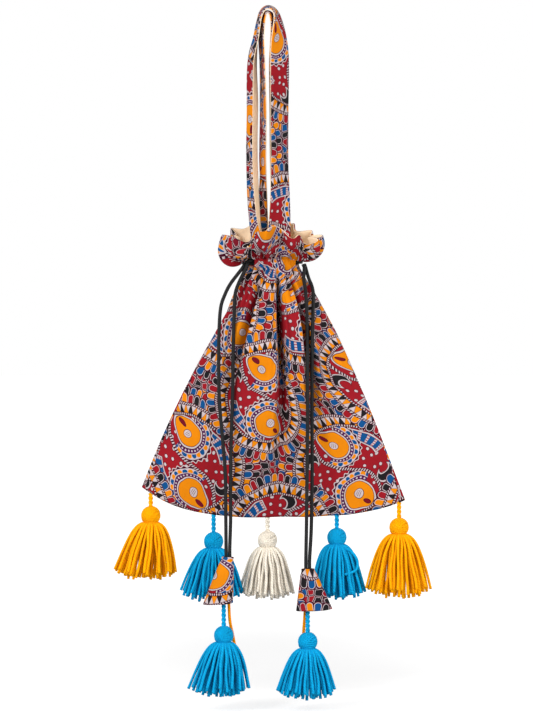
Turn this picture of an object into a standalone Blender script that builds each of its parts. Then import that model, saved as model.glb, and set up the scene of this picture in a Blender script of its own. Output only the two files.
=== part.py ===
"""Potli bag: a gathered drawstring pouch of printed cotton, hung by two strap handles, with yarn tassels.

Metres, +Z up, the front is -Y. The origin is where a hook or a hand carries the handles.
Run it with blender --background --python part.py, or from the text editor.
"""

import math

import bmesh
import bpy
from mathutils import Vector

# Cloth and sewing
CLOTH = 0.0009
LINING = 0.0008
LAYER_GAP = 0.00045
LINING_EASE = 0.0045
SEWN_GAP = 0.0003
SEAM_GAP = 0.0006

# Neck: the drawstring channel, an oval ring of gathered cloth
NECK_DROP = 0.247
NECK_X = 0.002
NECK_HALF_WIDTH = 0.0245
NECK_HALF_DEPTH = 0.018
LEFT_SEAM = math.radians(222)
RIGHT_SEAM = math.radians(346)
CHANNEL_HALF = 0.0046
STITCH_HALF = 0.0085
NOTCH_ANGLE = math.radians(12)

# Body: two flat-cut panels that fan out from the neck to the hem
BODY_LENGTH = 0.2565
HEM_LEFT = -0.127
HEM_RIGHT = 0.137
HEM_RISE_LEFT = 0.030
HEM_RISE_RIGHT = 0.017
HEM_CURVE = 3.4
HEM_WAVE = 0.0016
BELLY = 0.021
SIDE_BULGE_LEFT = (0.006, 1.3)
SIDE_BULGE_RIGHT = (0.010, 0.7)
LINING_END = 0.014
LINING_SIDE_ROOM = 0.0032

# Frill: the free cloth above the channel. Rim distances are (outwards, upwards, arch on the way)
FRILL = 0.038
RIM_LEFT = (0.020, 0.006, 0.013)
RIM_RIGHT = (0.022, 0.010, 0.012)
RIM_FRONT = (0.018, 0.027, 0.003)
RIM_BACK = (0.013, 0.037, 0.000)

# Gathers: the small folds at the neck, and the few long pleats that run down the panels
FOLDS_PER_PANEL = 8
COLUMNS_PER_FOLD = 4
NECK_FOLD = 0.0024
RIM_FOLD = 0.0042
FOLD_FADE = 0.045
FOLD_DRIFT = 0.010
SEAM_FLAT = 0.14
LINING_CALM = 0.6
PLEAT_START = 0.26
FRONT_PLEATS = (
    (0.24, 0.0085, 0.045, 0.60), (0.40, -0.0035, 0.070, 0.75), (0.545, 0.0120, 0.045, 0.85),
    (0.64, -0.0040, 0.045, 0.80), (0.735, 0.0095, 0.045, 0.75),
)
BACK_PLEATS = ((0.22, 0.0080, 0.045, 0.60), (0.48, 0.0095, 0.045, 0.80), (0.77, 0.0080, 0.045, 0.70))
BODY_ROWS = (0.0, 0.030, 0.075, 0.120, 0.165, 0.204, 0.230)
LINING_ROWS = (0.120, 0.165, 0.204, 0.230)

# Drawstrings
CORD = 0.0036
CORD_STACK = 0.0021
CHANNEL_LIFT = 0.0028
RING_POINTS = 13
EXIT_STEPS = ((-0.0003, 1.0), (0.0034, 0.5), (0.0076, 0.4))
EXIT_BEND = 0.0060
STRAND_START = ((0.0098, 0.0020), (0.0112, 0.0058))
STRAND_APART = 0.0042
STRAND_CLEAR = 0.0012
STRAND_POINTS = 14
STRAND_BIAS = 1.5
CAP_ENTRY = 0.005
CAP_FORWARD = 0.003

# Cloth caps and the knots in them
CAP_CLOTH = 0.0010
CAP_SIDES = 12
CAP_TOP_HALF_DEPTH = 0.0046
CAP_FOOT_HALF_DEPTH = 0.0070
KNOT_RADIUS = 0.0038
KNOT_DROP = 0.0115
PENDANT_BELOW_CAP = 0.0026

# Tassels
HEAD_RADIUS = 0.0095
LOOP_THICK = 0.0042
SKIRT_TOP_RADIUS = 0.0056
SKIRT_RIDGES = 12
RIDGE_DEPTH = 0.08
SKIRT_FLATNESS = 0.8
TAIL_THICK = 0.0026
TIP = 0.25
TIP_LENGTH = 0.004
HINGE_ROOM = 0.0009

# Handles
STRAP_WIDTH = 0.025
STRAP_CLOTH = 0.0009
STRAP_FACING = 0.0008
HANDLE_STEPS = 20

COLOURS = {
    "print": (0.42, 0.13, 0.14, 0.85),
    "cream": (0.80, 0.71, 0.57, 0.85),
    "black": (0.02, 0.02, 0.022, 0.6),
    "yellow": (1.0, 0.45, 0.01, 0.9),
    "blue": (0.01, 0.38, 0.72, 0.9),
    "white": (0.86, 0.80, 0.72, 0.9),
    "orange": (1.0, 0.30, 0.01, 0.9),
}

# Hem tassels from left to right: x, hem to head centre, head centre to the strands' ends, skirt radius, lean, colour
HEM_TASSELS = (
    (-0.1180, 0.0222, 0.0640, 0.0315, -0.005, "yellow"),
    (-0.0550, 0.0265, 0.0600, 0.0285, -0.001, "blue"),
    (-0.0010, 0.0231, 0.0585, 0.0255, 0.000, "white"),
    (0.0685, 0.0220, 0.0610, 0.0265, 0.002, "blue"),
    (0.1308, 0.0246, 0.0700, 0.0310, 0.000, "yellow"),
)

# Each drawstring's cap as (x, z) of its top and foot with the half widths there, and what hangs under it.
# The yarn tail's points are x, distance behind the cap's middle, z.
DRAWSTRINGS = {
    "left": {
        "seam": LEFT_SEAM,
        "stack": CORD_STACK,
        "top": (-0.0403, -0.5400),
        "foot": (-0.0503, -0.5865),
        "half_widths": (0.0062, 0.0140),
        "tassel_x": -0.0445,
        "tassel_drop": 0.0319,
        "skirt": (0.0606, 0.0310, -0.004),
        "tail": ((-0.0421, 0.0005, -0.5925), (-0.0388, 0.006, -0.6040), (-0.0355, 0.015, -0.6200),
                 (-0.0325, 0.021, -0.6360)),
    },
    "right": {
        "seam": RIGHT_SEAM,
        "stack": -CORD_STACK,
        "top": (0.0390, -0.5520),
        "foot": (0.0455, -0.5930),
        "half_widths": (0.0062, 0.0170),
        "tassel_x": 0.0390,
        "tassel_drop": 0.0320,
        "skirt": (0.0570, 0.0300, -0.001),
        "tail": ((0.0357, -0.001, -0.5960), (0.0350, -0.002, -0.6045), (0.0345, -0.004, -0.6130)),
    },
}

# The strands' hanging routes as (x, z), from under the neck down over the belly; sign is the side of the notch
STRANDS = (
    ("left_drawstring_outer_strand", "left", -1, (
        (-0.0310, -0.2600), (-0.0378, -0.2690), (-0.0430, -0.2790), (-0.0475, -0.2930), (-0.0492, -0.3200),
        (-0.0495, -0.3560), (-0.0485, -0.3900), (-0.0455, -0.4250), (-0.0430, -0.4580), (-0.0425, -0.5000),
    )),
    ("left_drawstring_inner_strand", "left", 1, (
        (-0.0262, -0.2610), (-0.0303, -0.2700), (-0.0332, -0.2800), (-0.0342, -0.3000), (-0.0348, -0.3200),
        (-0.0352, -0.3440), (-0.0358, -0.3840), (-0.0372, -0.4240), (-0.0377, -0.4700), (-0.0377, -0.5030),
    )),
    ("right_drawstring_inner_strand", "right", -1, (
        (0.0350, -0.2640), (0.0364, -0.2730), (0.0373, -0.2830), (0.0380, -0.2950), (0.0384, -0.3180), (0.0386, -0.3440),
        (0.0387, -0.3740), (0.0388, -0.4040), (0.0383, -0.4530), (0.0378, -0.5030),
    )),
    ("right_drawstring_outer_strand", "right", 1, (
        (0.0400, -0.2640), (0.0430, -0.2710), (0.0446, -0.2800), (0.0443, -0.2950), (0.0438, -0.3180), (0.0432, -0.3440),
        (0.0432, -0.3740), (0.0432, -0.4040), (0.0434, -0.4530), (0.0426, -0.5100),
    )),
)

# Handle stations, left foot to right foot: x, y, z of the middle, then the directions of the front and the rear
# half of the strap's width, in degrees from +Y towards the outside of the loop
FRONT_HANDLE = (
    (-0.0170, -0.0080, -0.2300, 245, -70), (-0.0205, -0.0060, -0.2050, 225, -75), (-0.0225, -0.0010, -0.1600, 213, -72),
    (-0.0225, 0.0000, -0.1000, 213, -72), (-0.0215, 0.0000, -0.0520, 211, -50), (-0.0155, 0.0000, -0.0260, 205, -20),
    (-0.0085, 0.0000, -0.0030, 190, 5), (0.0000, 0.0000, 0.0048, 187, 7), (0.0085, -0.0005, -0.0050, 192, 14),
    (0.0110, -0.0020, -0.0400, 222, 42), (0.0110, -0.0030, -0.1000, 223, 43), (0.0110, -0.0035, -0.1600, 223, 43),
    (0.0110, -0.0060, -0.2050, 235, 55), (0.0095, -0.0085, -0.2300, 260, 75),
)
BACK_HANDLE = (
    (-0.0130, 0.0090, -0.2300, 245, -70), (-0.0120, 0.0080, -0.2050, 240, -65), (-0.0080, 0.0050, -0.1600, 205, 0),
    (-0.0060, 0.0040, -0.1000, 198, 8), (-0.0062, 0.0030, -0.0500, 192, 10), (-0.0068, 0.0010, -0.0200, 190, 10),
    (-0.0045, 0.0000, -0.0035, 188, 8), (0.0000, 0.0000, 0.0000, 186, 6), (0.0035, 0.0010, -0.0045, 190, 10),
    (0.0062, 0.0030, -0.0200, 199, 19), (0.0080, 0.0070, -0.0500, 215, 35),
    (0.0100, 0.0090, -0.1000, 223, 43), (0.0105, 0.0090, -0.1600, 223, 38), (0.0130, 0.0085, -0.2050, 235, 0),
    (0.0155, 0.0080, -0.2300, 245, -40),
)


def smoothstep(x):
    x = min(1.0, max(0.0, x))
    return x * x * (3 - 2 * x)


def neck_sweep(front):
    """Angle the front or the back panel covers round the neck, from the left seam to the right seam."""
    return RIGHT_SEAM - LEFT_SEAM if front else RIGHT_SEAM - LEFT_SEAM - 2 * math.pi


def neck_direction(front, across):
    angle = LEFT_SEAM + neck_sweep(front) * across
    return Vector((math.cos(angle), math.sin(angle), 0))


def hem_height(across):
    """Height of the hem: the corners hang higher than the middle, because the panels fan out."""
    off_centre = 2 * across - 1
    rise = HEM_RISE_LEFT if off_centre < 0 else HEM_RISE_RIGHT
    return -NECK_DROP - BODY_LENGTH + rise * abs(off_centre) ** HEM_CURVE


def hem_point(across):
    x = HEM_LEFT + (HEM_RIGHT - HEM_LEFT) * across
    y = HEM_WAVE * math.sin(3 * math.pi * across + 0.6)
    return Vector((x, y, hem_height(across)))


def hem_across(x):
    return (x - HEM_LEFT) / (HEM_RIGHT - HEM_LEFT)


def body_depth(across, down):
    """How far the belly stands out from the straight line between neck and hem."""
    return BELLY * math.sin(math.pi * down**0.75) * math.sin(math.pi * across)


def smooth_point(front, across, height):
    """The bag's surface without its folds. height runs up the cloth from the hem; the channel is at BODY_LENGTH."""
    way = neck_direction(front, across)
    neck = Vector((NECK_X + NECK_HALF_WIDTH * way.x, NECK_HALF_DEPTH * way.y, -NECK_DROP))
    above = height - BODY_LENGTH
    if abs(above) <= CHANNEL_HALF:
        return neck + Vector((0, 0, above))
    if above < 0:
        down = (-above - CHANNEL_HALF) / (BODY_LENGTH - CHANNEL_HALF)
        point = (neck - Vector((0, 0, CHANNEL_HALF))).lerp(hem_point(across), down)
        off_centre = 2 * across - 1
        bulge, power = SIDE_BULGE_LEFT if off_centre < 0 else SIDE_BULGE_RIGHT
        point.x += bulge * off_centre * math.sin(math.pi * down**power)
        point.y += body_depth(across, down) * (-1 if front else 1)
        return point
    up = (above - CHANNEL_HALF) / (FRILL - CHANNEL_HALF)
    side, end = way.x**2, way.y**2
    beside = RIM_LEFT if way.x < 0 else RIM_RIGHT
    facing = RIM_FRONT if way.y < 0 else RIM_BACK
    out, rise, arch = (beside[k] * side + facing[k] * end for k in range(3))
    lift = CHANNEL_HALF + rise * up**0.85 + arch * math.sin(math.pi * up)
    return neck + way * out * up**0.8 + Vector((0, 0, lift))


def smooth_normal(front, across, height):
    """Unit normal of the smooth surface, pointing out of the bag."""
    step_a, step_h = 0.004, 0.0015
    along = smooth_point(front, across + step_a, height) - smooth_point(front, across - step_a, height)
    low = max(0.0, height - step_h)
    up = smooth_point(front, across, height + step_h) - smooth_point(front, across, low)
    normal = along.cross(up) if front else up.cross(along)
    return normal.normalized()


def channel_share(height):
    """1 inside the drawstring channel, falling to 0 at its two stitch lines."""
    off = abs(height - BODY_LENGTH)
    return 1 - smoothstep((off - CHANNEL_HALF) / (STITCH_HALF - CHANNEL_HALF))


def fold_height(front, across, height, outer):
    """How far the gathers and pleats lift the cloth off the smooth surface."""
    above = max(0.0, height - BODY_LENGTH - STITCH_HALF) / (FRILL - STITCH_HALF)
    below = max(0.0, BODY_LENGTH - STITCH_HALF - height)
    size = (NECK_FOLD + (RIM_FOLD - NECK_FOLD) * above) * math.exp(-below / FOLD_FADE)
    size *= smoothstep(min(across, 1 - across) / SEAM_FLAT)
    one_sided = channel_share(height) * (1 if outer else -1)
    if not outer:
        size *= 1 - LINING_CALM * channel_share(height)
    place = across + FOLD_DRIFT * math.sin(6 * math.pi * across)
    gather = size * (one_sided - math.cos(2 * math.pi * FOLDS_PER_PANEL * place))
    down = max(0.0, 1 - height / BODY_LENGTH)
    pleat = 0.0
    for middle, depth, width, reach in FRONT_PLEATS if front else BACK_PLEATS:
        length = smoothstep(down / PLEAT_START) * (1 - smoothstep((down - 0.2) / reach))
        pleat -= depth * length * math.exp(-(((across - middle) / width) ** 2))
    return gather + pleat


def lining_ease(across, height):
    """Extra room between panel and lining where the pleats run."""
    down = max(0.0, 1 - height / BODY_LENGTH)
    return LINING_EASE * smoothstep(down / 0.15) * (1 - down) * math.sin(math.pi * across)


def cloth_point(front, across, height, outer):
    """A point between the two layers, where the printed panel (outer) or the lining is laid."""
    lift = CHANNEL_LIFT * channel_share(height)
    if not outer:
        lift = -lift - lining_ease(across, height)
    away = fold_height(front, across, height, outer) + lift
    return smooth_point(front, across, height) + smooth_normal(front, across, height) * away


def frill_rows():
    """Cloth heights from the lower stitch line up to the frill's rim."""
    steps = (-STITCH_HALF, -CHANNEL_HALF, CHANNEL_HALF, STITCH_HALF, 0.6 * FRILL, FRILL)
    return [BODY_LENGTH + step for step in steps]


def material(name):
    """A Principled material of one of the bag's colours."""
    found = bpy.data.materials.get(name)
    if found:
        return found
    made = bpy.data.materials.new(name)
    made.use_nodes = True
    red, green, blue, rough = COLOURS[name]
    shader = made.node_tree.nodes["Principled BSDF"]
    shader.inputs["Base Color"].default_value = (red, green, blue, 1)
    shader.inputs["Roughness"].default_value = rough
    shader.inputs["Metallic"].default_value = 0
    made.diffuse_color = (red, green, blue, 1)
    return made


def add_object(name, data, colour, parent=None):
    obj = bpy.data.objects.new(name, data)
    obj.data.materials.append(material(colour))
    bpy.context.collection.objects.link(obj)
    obj.parent = parent
    return obj


def add_mesh(name, bm, colour, parent=None, smooth=True):
    mesh = bpy.data.meshes.new(name)
    bm.to_mesh(mesh)
    bm.free()
    if smooth:
        mesh.shade_smooth()
        mesh.set_sharp_from_angle(angle=math.radians(60))
    return add_object(name, mesh, colour, parent)


def thicken(obj, thickness, offset):
    """Gives cloth its thickness. An offset beyond 1 or -1 also leaves a gap on that side of the drawn surface."""
    solidify = obj.modifiers.new("cloth", "SOLIDIFY")
    solidify.thickness = thickness
    solidify.offset = offset
    return obj


def add_joint_empty(name, place):
    """An empty on a hanging piece's swing axis."""
    empty = bpy.data.objects.new(name, None)
    empty.empty_display_size = 0.01
    empty.location = place
    bpy.context.collection.objects.link(empty)
    bpy.context.view_layer.update()
    return empty


def seam_inset(front, height):
    """How far a panel's edge stays off the seam, as a share of its width at this height."""
    down = max(0.0, 1 - height / BODY_LENGTH)
    neck_width = abs(neck_sweep(front)) * (NECK_HALF_WIDTH + NECK_HALF_DEPTH) / 2
    return SEAM_GAP / (neck_width * (1 - down) + (HEM_RIGHT - HEM_LEFT) * down)


def sew_rows(bm, rows, closed):
    """Cloth between rows of points, all split along the same diagonal so that layers keep their distance."""
    made = [[bm.verts.new(point) for point in row] for row in rows]
    count = len(made[0])
    for low, high in zip(made, made[1:]):
        for i in range(count if closed else count - 1):
            j = (i + 1) % count
            bm.faces.new((low[i], low[j], high[j], high[i]))
    bmesh.ops.triangulate(bm, faces=bm.faces, quad_method="FIXED")
    return made


def panel(name, front):
    """One printed panel from hem to frill, laid into its gathers, notched at the channel, then thickened."""
    heights = list(BODY_ROWS) + frill_rows()
    columns = FOLDS_PER_PANEL * COLUMNS_PER_FOLD
    order = range(columns + 1) if front else range(columns, -1, -1)
    rows = []
    for height in heights:
        inset = seam_inset(front, height)
        row = [inset + (1 - 2 * inset) * column / columns for column in order]
        rows.append([cloth_point(front, across, height, True) for across in row])
    bm = bmesh.new()
    made = sew_rows(bm, rows, False)
    notch = round(columns * NOTCH_ANGLE / abs(neck_sweep(front)))
    channel = heights.index(BODY_LENGTH - CHANNEL_HALF)
    band = set(made[channel] + made[channel + 1])
    cut = []
    for end in (range(notch + 1), range(columns - notch, columns + 1)):
        corner = {made[row][i] for row in (channel, channel + 1) for i in end}
        cut += [face for face in bm.faces if corner.issuperset(face.verts) and band.issuperset(face.verts)]
    bmesh.ops.delete(bm, geom=cut, context="FACES")
    return thicken(add_mesh(name, bm, "print"), CLOTH, 1 + 2 * LAYER_GAP / CLOTH)


def lining_ring(height):
    """One closed round of the lining. Its side folds keep clear of the panels' seams."""
    down = max(0.0, 1 - height / BODY_LENGTH)
    columns = FOLDS_PER_PANEL * COLUMNS_PER_FOLD
    depth = body_depth(0.5, down) + NECK_HALF_DEPTH * (1 - down)
    side = math.asin(min(1.0, LINING_SIDE_ROOM / depth)) / math.pi
    side *= smoothstep((down - 0.15) / 0.25)
    ring = []
    for front in (True, False):
        for step in range(columns):
            column = step if front else columns - step
            inset = side + seam_inset(front, height)
            across = inset + (1 - 2 * inset) * column / columns
            point = cloth_point(front, across, height, False)
            if column in (0, columns):
                other = cloth_point(not front, across, height, False)
                point = (point + other) / 2
            ring.append(point)
    return ring


def lining():
    """The cream inner pouch, up through the channel to the frill's rim."""
    heights = [LINING_END] + list(LINING_ROWS) + frill_rows()
    bm = bmesh.new()
    foot = sew_rows(bm, [lining_ring(height) for height in heights], True)[0]
    for i in range(len(foot) // 2):
        corners = [foot[i + 1], foot[i], foot[-i], foot[-i - 1]]
        bm.faces.new(list(dict.fromkeys(corners)))
    bmesh.ops.recalc_face_normals(bm, faces=bm.faces)
    return thicken(add_mesh("lining", bm, "cream"), LINING, -1 - 2 * LAYER_GAP / LINING)


def tube(name, points, thick, colour, parent=None, thin_start=False, thin_end=False):
    """A round tube along points, with filled ends that can narrow to a tip where a piece swings."""
    curve = bpy.data.curves.new(name, "CURVE")
    curve.dimensions = "3D"
    curve.bevel_depth = thick / 2
    curve.bevel_resolution = 2
    curve.use_fill_caps = True
    spline = curve.splines.new("POLY")
    spline.points.add(len(points) - 1)
    for knot, point in zip(spline.points, points):
        knot.co = (*point, 1)
    if thin_start:
        spline.points[0].radius = TIP
    if thin_end:
        spline.points[-1].radius = TIP
    return add_object(name, curve, colour, parent)


def smooth_line(points, count, bias=1.0):
    """count points along a Catmull-Rom curve through the given ones, by length, closer at the start with a bias."""
    given = [Vector(point) for point in points]
    given = [given[0] * 2 - given[1], *given, given[-1] * 2 - given[-2]]
    fine = []
    for a, b, c, d in zip(given, given[1:], given[2:], given[3:]):
        for step in range(12):
            t = step / 12
            fine.append(
                0.5 * (2 * b + (c - a) * t + (2 * a - 5 * b + 4 * c - d) * t**2 + (3 * b - a - 3 * c + d) * t**3)
            )
    fine.append(given[-2])
    lengths = [0.0]
    for a, b in zip(fine, fine[1:]):
        lengths.append(lengths[-1] + (b - a).length)
    line, at = [], 0
    for step in range(count):
        target = lengths[-1] * (step / (count - 1)) ** bias
        while at < len(fine) - 2 and lengths[at + 1] < target:
            at += 1
        line.append(fine[at].lerp(fine[at + 1], (target - lengths[at]) / (lengths[at + 1] - lengths[at])))
    return line


def channel_place(seam):
    """The neck oval at a seam: a point on it, the way out and how far one radian of the seam's angle runs."""
    way = Vector((math.cos(seam), math.sin(seam), 0))
    place = Vector((NECK_X + NECK_HALF_WIDTH * way.x, NECK_HALF_DEPTH * way.y, -NECK_DROP))
    out = Vector((way.x / NECK_HALF_WIDTH, way.y / NECK_HALF_DEPTH, 0)).normalized()
    arc = math.hypot(NECK_HALF_WIDTH * way.y, NECK_HALF_DEPTH * way.x)
    return place, out, arc


def beside_seam(seam, sign, far, drop):
    """A point on one of the two cords that leave a seam's notch, far out from the neck oval."""
    place, out, _ = channel_place(seam)
    along = Vector((-out.y, out.x, 0)) * (sign * STRAND_APART / 2)
    return place + along + out * far + Vector((0, 0, drop))


def cord_in_channel(name, seam, stack):
    """A drawstring's stretch in the neck: in through the notch, once round inside the channel and out again."""
    ends = []
    for sign in (1, -1):
        ends.append([beside_seam(seam, sign, far, stack * kept) for far, kept in EXIT_STEPS])
    free = EXIT_BEND / channel_place(seam)[2]
    ring = []
    for step in range(RING_POINTS):
        angle = seam + free + (2 * math.pi - 2 * free) * step / (RING_POINTS - 1)
        x = NECK_X + NECK_HALF_WIDTH * math.cos(angle)
        y = NECK_HALF_DEPTH * math.sin(angle)
        ring.append(Vector((x, y, -NECK_DROP + stack)))
    return tube(name, ends[0][::-1] + ring + ends[1], CORD, "black")


def front_cloth_samples():
    """Points of the front panel, to lay the strands on."""
    samples = []
    for a in range(65):
        for h in range(46):
            samples.append(cloth_point(True, a / 64, BODY_LENGTH * h / 45, True))
    return samples


def strand_route(samples, side, sign, route):
    """A strand's points: out of the channel, down over the cloth, never behind what it has already passed."""
    seam, height = DRAWSTRINGS[side]["seam"], DRAWSTRINGS[side]["stack"] * EXIT_STEPS[-1][1]
    points = [beside_seam(seam, sign, far, height - drop) for far, drop in STRAND_START]
    y = points[-1].y
    for x, z in route:
        near = [p.y for p in samples if abs(p.x - x) < 0.005 and abs(p.z - z) < 0.006]
        rest = min(near, default=y) - CLOTH / 2 - CORD / 2 - STRAND_CLEAR
        y = min(y, rest)
        points.append(Vector((x, y, z)))
    return points


def bridge_rings(bm, rings):
    """Joins each ring of vertices to the next with a band of faces."""
    bm.edges.ensure_lookup_table()
    for low, high in zip(rings, rings[1:]):
        edges = [edge for edge in bm.edges if all(v in low for v in edge.verts) or all(v in high for v in edge.verts)]
        bmesh.ops.bridge_loops(bm, edges=edges)


def oval_loft(name, stations, sides, colour, parent=None):
    """An open sleeve through oval rings, each given as (centre, half width, half depth)."""
    bm = bmesh.new()
    rings = []
    for centre, half_width, half_depth in stations:
        made = bmesh.ops.create_circle(bm, segments=sides, radius=1)["verts"]
        for vert in made:
            vert.co = centre + Vector((vert.co.x * half_width, vert.co.y * half_depth, 0))
        rings.append(made)
    bridge_rings(bm, rings)
    bmesh.ops.recalc_face_normals(bm, faces=bm.faces)
    return add_mesh(name, bm, colour, parent)


def cord_cap(name, top, foot, half_widths, parent):
    """The printed cloth cap that closes a drawstring's two ends: a flattened cone, open below."""
    narrow, wide = half_widths
    stations = []
    for share in (0.0, 0.5, 1.0):
        half_depth = CAP_TOP_HALF_DEPTH + (CAP_FOOT_HALF_DEPTH - CAP_TOP_HALF_DEPTH) * share
        stations.append((top.lerp(foot, share) - parent.location, narrow + (wide - narrow) * share, half_depth))
    return thicken(oval_loft(name, stations, CAP_SIDES, "print", parent), CAP_CLOTH, offset=1.0)


def knot(name, place, parent):
    """The overhand knot that holds a cap on its drawstring."""
    bm = bmesh.new()
    bmesh.ops.create_uvsphere(bm, u_segments=8, v_segments=5, radius=KNOT_RADIUS)
    bmesh.ops.scale(bm, vec=(1.15, 1.02, 0.9), verts=bm.verts)
    obj = add_mesh(name, bm, "black", parent)
    obj.location = place - parent.location
    return obj


def skirt_radius(share, foot_radius):
    """Radius of a tassel's skirt: it swells under the tie, then flares to the strands' ends."""
    swell = math.sin(math.pi / 2 * min(1.0, share * 1.15)) ** 0.8
    return SKIRT_TOP_RADIUS + (foot_radius - SKIRT_TOP_RADIUS) * swell


def skirt(name, top, length, foot_radius, lean, colour, parent):
    """The hanging strands, as one ribbed bell with a slightly hollow underside."""
    columns = SKIRT_RIDGES * 2
    bm = bmesh.new()
    rings = []
    for share in (0.0, 0.16, 0.42, 0.72, 1.0):
        made = bmesh.ops.create_circle(bm, segments=columns, radius=1)["verts"]
        for index, vert in enumerate(made):
            groove = 1 - RIDGE_DEPTH * (index % 2) * min(1.0, share * 4)
            radius = skirt_radius(share, foot_radius) * groove
            drop = length * share - (0.0022 * (index % 3) if share == 1 else 0)
            spread = Vector((vert.co.x, vert.co.y * (1 - (1 - SKIRT_FLATNESS) * share), 0)) * radius
            vert.co = spread + Vector((lean * share**1.5, 0, -drop))
        rings.append(made)
    bridge_rings(bm, rings)
    bmesh.ops.contextual_create(bm, geom=rings[0])
    centre = bm.verts.new((lean, 0, -length * 0.93))
    foot = rings[-1]
    for a, b in zip(foot, foot[1:] + foot[:1]):
        bm.faces.new((a, b, centre))
    bmesh.ops.recalc_face_normals(bm, faces=bm.faces)
    obj = add_mesh(name, bm, colour, parent)
    obj.location = top - parent.location
    return obj


def tassel(name, hang, head_drop, skirt_length, foot_radius, lean, colour):
    """A yarn tassel under the point hang: loop, wound head and skirt, all on the swing axis's empty."""
    pivot = add_joint_empty(name + "_swing", hang)
    bm = bmesh.new()
    bmesh.ops.create_uvsphere(bm, u_segments=10, v_segments=6, radius=HEAD_RADIUS)
    head = add_mesh(name + "_head", bm, colour, pivot)
    head.location = Vector((0, 0, -head_drop))
    loop_end = head_drop - HEAD_RADIUS - SEWN_GAP
    loop = [(0, 0, 0), (0, 0, -TIP_LENGTH), (0, 0, -loop_end)]
    tube(name + "_loop", loop, LOOP_THICK, colour, pivot, thin_start=True)
    skirt_top = head_drop + math.sqrt(HEAD_RADIUS**2 - SKIRT_TOP_RADIUS**2) + SEWN_GAP
    skirt_top = max(skirt_top, head_drop + HEAD_RADIUS + SEWN_GAP)
    length = head_drop + skirt_length - skirt_top
    skirt(name + "_skirt", hang - Vector((0, 0, skirt_top)), length, foot_radius, lean, colour, pivot)
    return pivot


def handle_frame(stations, share):
    """Place, front half and rear half of the strap at a share of the handle's length."""
    spot = share * (len(stations) - 1)
    index = min(int(spot), len(stations) - 2)
    t = spot - index
    near = [stations[max(0, min(len(stations) - 1, index + k))] for k in (-1, 0, 1, 2)]
    a, b, c, d = near
    mixed = [
        0.5 * (2 * q + (r - p) * t + (2 * p - 5 * q + 4 * r - s) * t**2 + (3 * q - p - 3 * r + s) * t**3)
        for p, q, r, s in zip(a, b, c, d)
    ]
    return Vector(mixed[:3]), math.radians(mixed[3]), math.radians(mixed[4])


def strap_section(stations, share):
    """Three points across the strap: front edge, middle and rear edge."""
    place, front_angle, rear_angle = handle_frame(stations, share)
    ahead = handle_frame(stations, min(1.0, share + 0.01))[0] - handle_frame(stations, max(0.0, share - 0.01))[0]
    side = Vector((0, 1, 0))
    outward = ahead.cross(side).normalized()
    points = []
    for angle in (front_angle, rear_angle):
        points.append(place + (side * math.cos(angle) + outward * math.sin(angle)) * STRAP_WIDTH / 2)
    return [points[0], place, points[1]]


def strap(name, stations, thickness, side_offset, colour):
    """One layer of a handle: the section swept along the stations, then given its thickness."""
    bm = bmesh.new()
    bmesh.ops.create_grid(bm, x_segments=2, y_segments=HANDLE_STEPS, size=1)
    for vert in bm.verts:
        vert.co = strap_section(stations, (vert.co.y + 1) / 2)[round(vert.co.x + 1)]
        vert.co.z += STRAP_FACING + SEWN_GAP
    return thicken(add_mesh(name, bm, colour), thickness, side_offset)


def handle(name, stations):
    """A handle is a printed strap and a cream facing sewn back to back, the facing inside the loop."""
    strap(name + "_strap", stations, STRAP_CLOTH, -1.0 - 2 * SEWN_GAP / STRAP_CLOTH, "print")
    strap(name + "_facing", stations, STRAP_FACING, 1.0 + 2 * SEWN_GAP / STRAP_FACING, "cream")


def drawstring(side, samples):
    """What hangs on one drawstring: two strands, cap, knot, yarn stem, yarn tail and pendant tassel."""
    made = DRAWSTRINGS[side]
    routes = [(name, strand_route(samples, side, sign, route), sign) for name, s, sign, route in STRANDS if s == side]
    hang_y = min(points[-1].y for _, points, _ in routes) - CAP_FORWARD
    top = Vector((made["top"][0], hang_y, made["top"][1]))
    foot = Vector((made["foot"][0], hang_y, made["foot"][1]))
    pivot = add_joint_empty(side + "_drawstring_swing", (routes[0][1][0] + routes[1][1][0]) / 2)
    order = sorted(routes, key=lambda item: item[1][-1].x)
    for beside, (name, points, _) in zip((-0.5, 0.5), order):
        end = top + Vector((beside * STRAND_APART, 0, 0.0))
        points += [end + Vector((0, 0, 2 * CAP_ENTRY)), end, end - Vector((0, 0, CAP_ENTRY))]
        line = [point - pivot.location for point in smooth_line(points, STRAND_POINTS, STRAND_BIAS)]
        tube(name, line, CORD, "black", pivot, thin_start=True)
    cord_cap(side + "_cord_cap", top, foot, made["half_widths"], pivot)
    knot_place = top.lerp(foot, KNOT_DROP / (top.z - foot.z))
    knot(side + "_cord_knot", knot_place, pivot)
    hang = Vector((made["tassel_x"], hang_y, foot.z - PENDANT_BELOW_CAP))
    stem_top = knot_place - Vector((0, 0, KNOT_RADIUS + SEWN_GAP))
    stem_foot = hang + Vector((0, 0, HINGE_ROOM))
    stem = [point - pivot.location for point in (stem_top, stem_foot)]
    tube(side + "_yarn_stem", stem, LOOP_THICK, "blue", pivot, thin_end=True)
    tail = [Vector((x, hang_y + behind, z)) for x, behind, z in made["tail"]]
    length, radius, lean = made["skirt"]
    pendant = tassel(side + "_pendant", hang, made["tassel_drop"] - PENDANT_BELOW_CAP, length, radius, lean, "blue")
    tail = [point - pendant.location for point in smooth_line(tail, 4)]
    tube(side + "_yarn_tail", tail, TAIL_THICK, "orange", pendant, thin_start=True)


def clear_scene():
    for obj in list(bpy.data.objects):
        bpy.data.objects.remove(obj)


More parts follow.
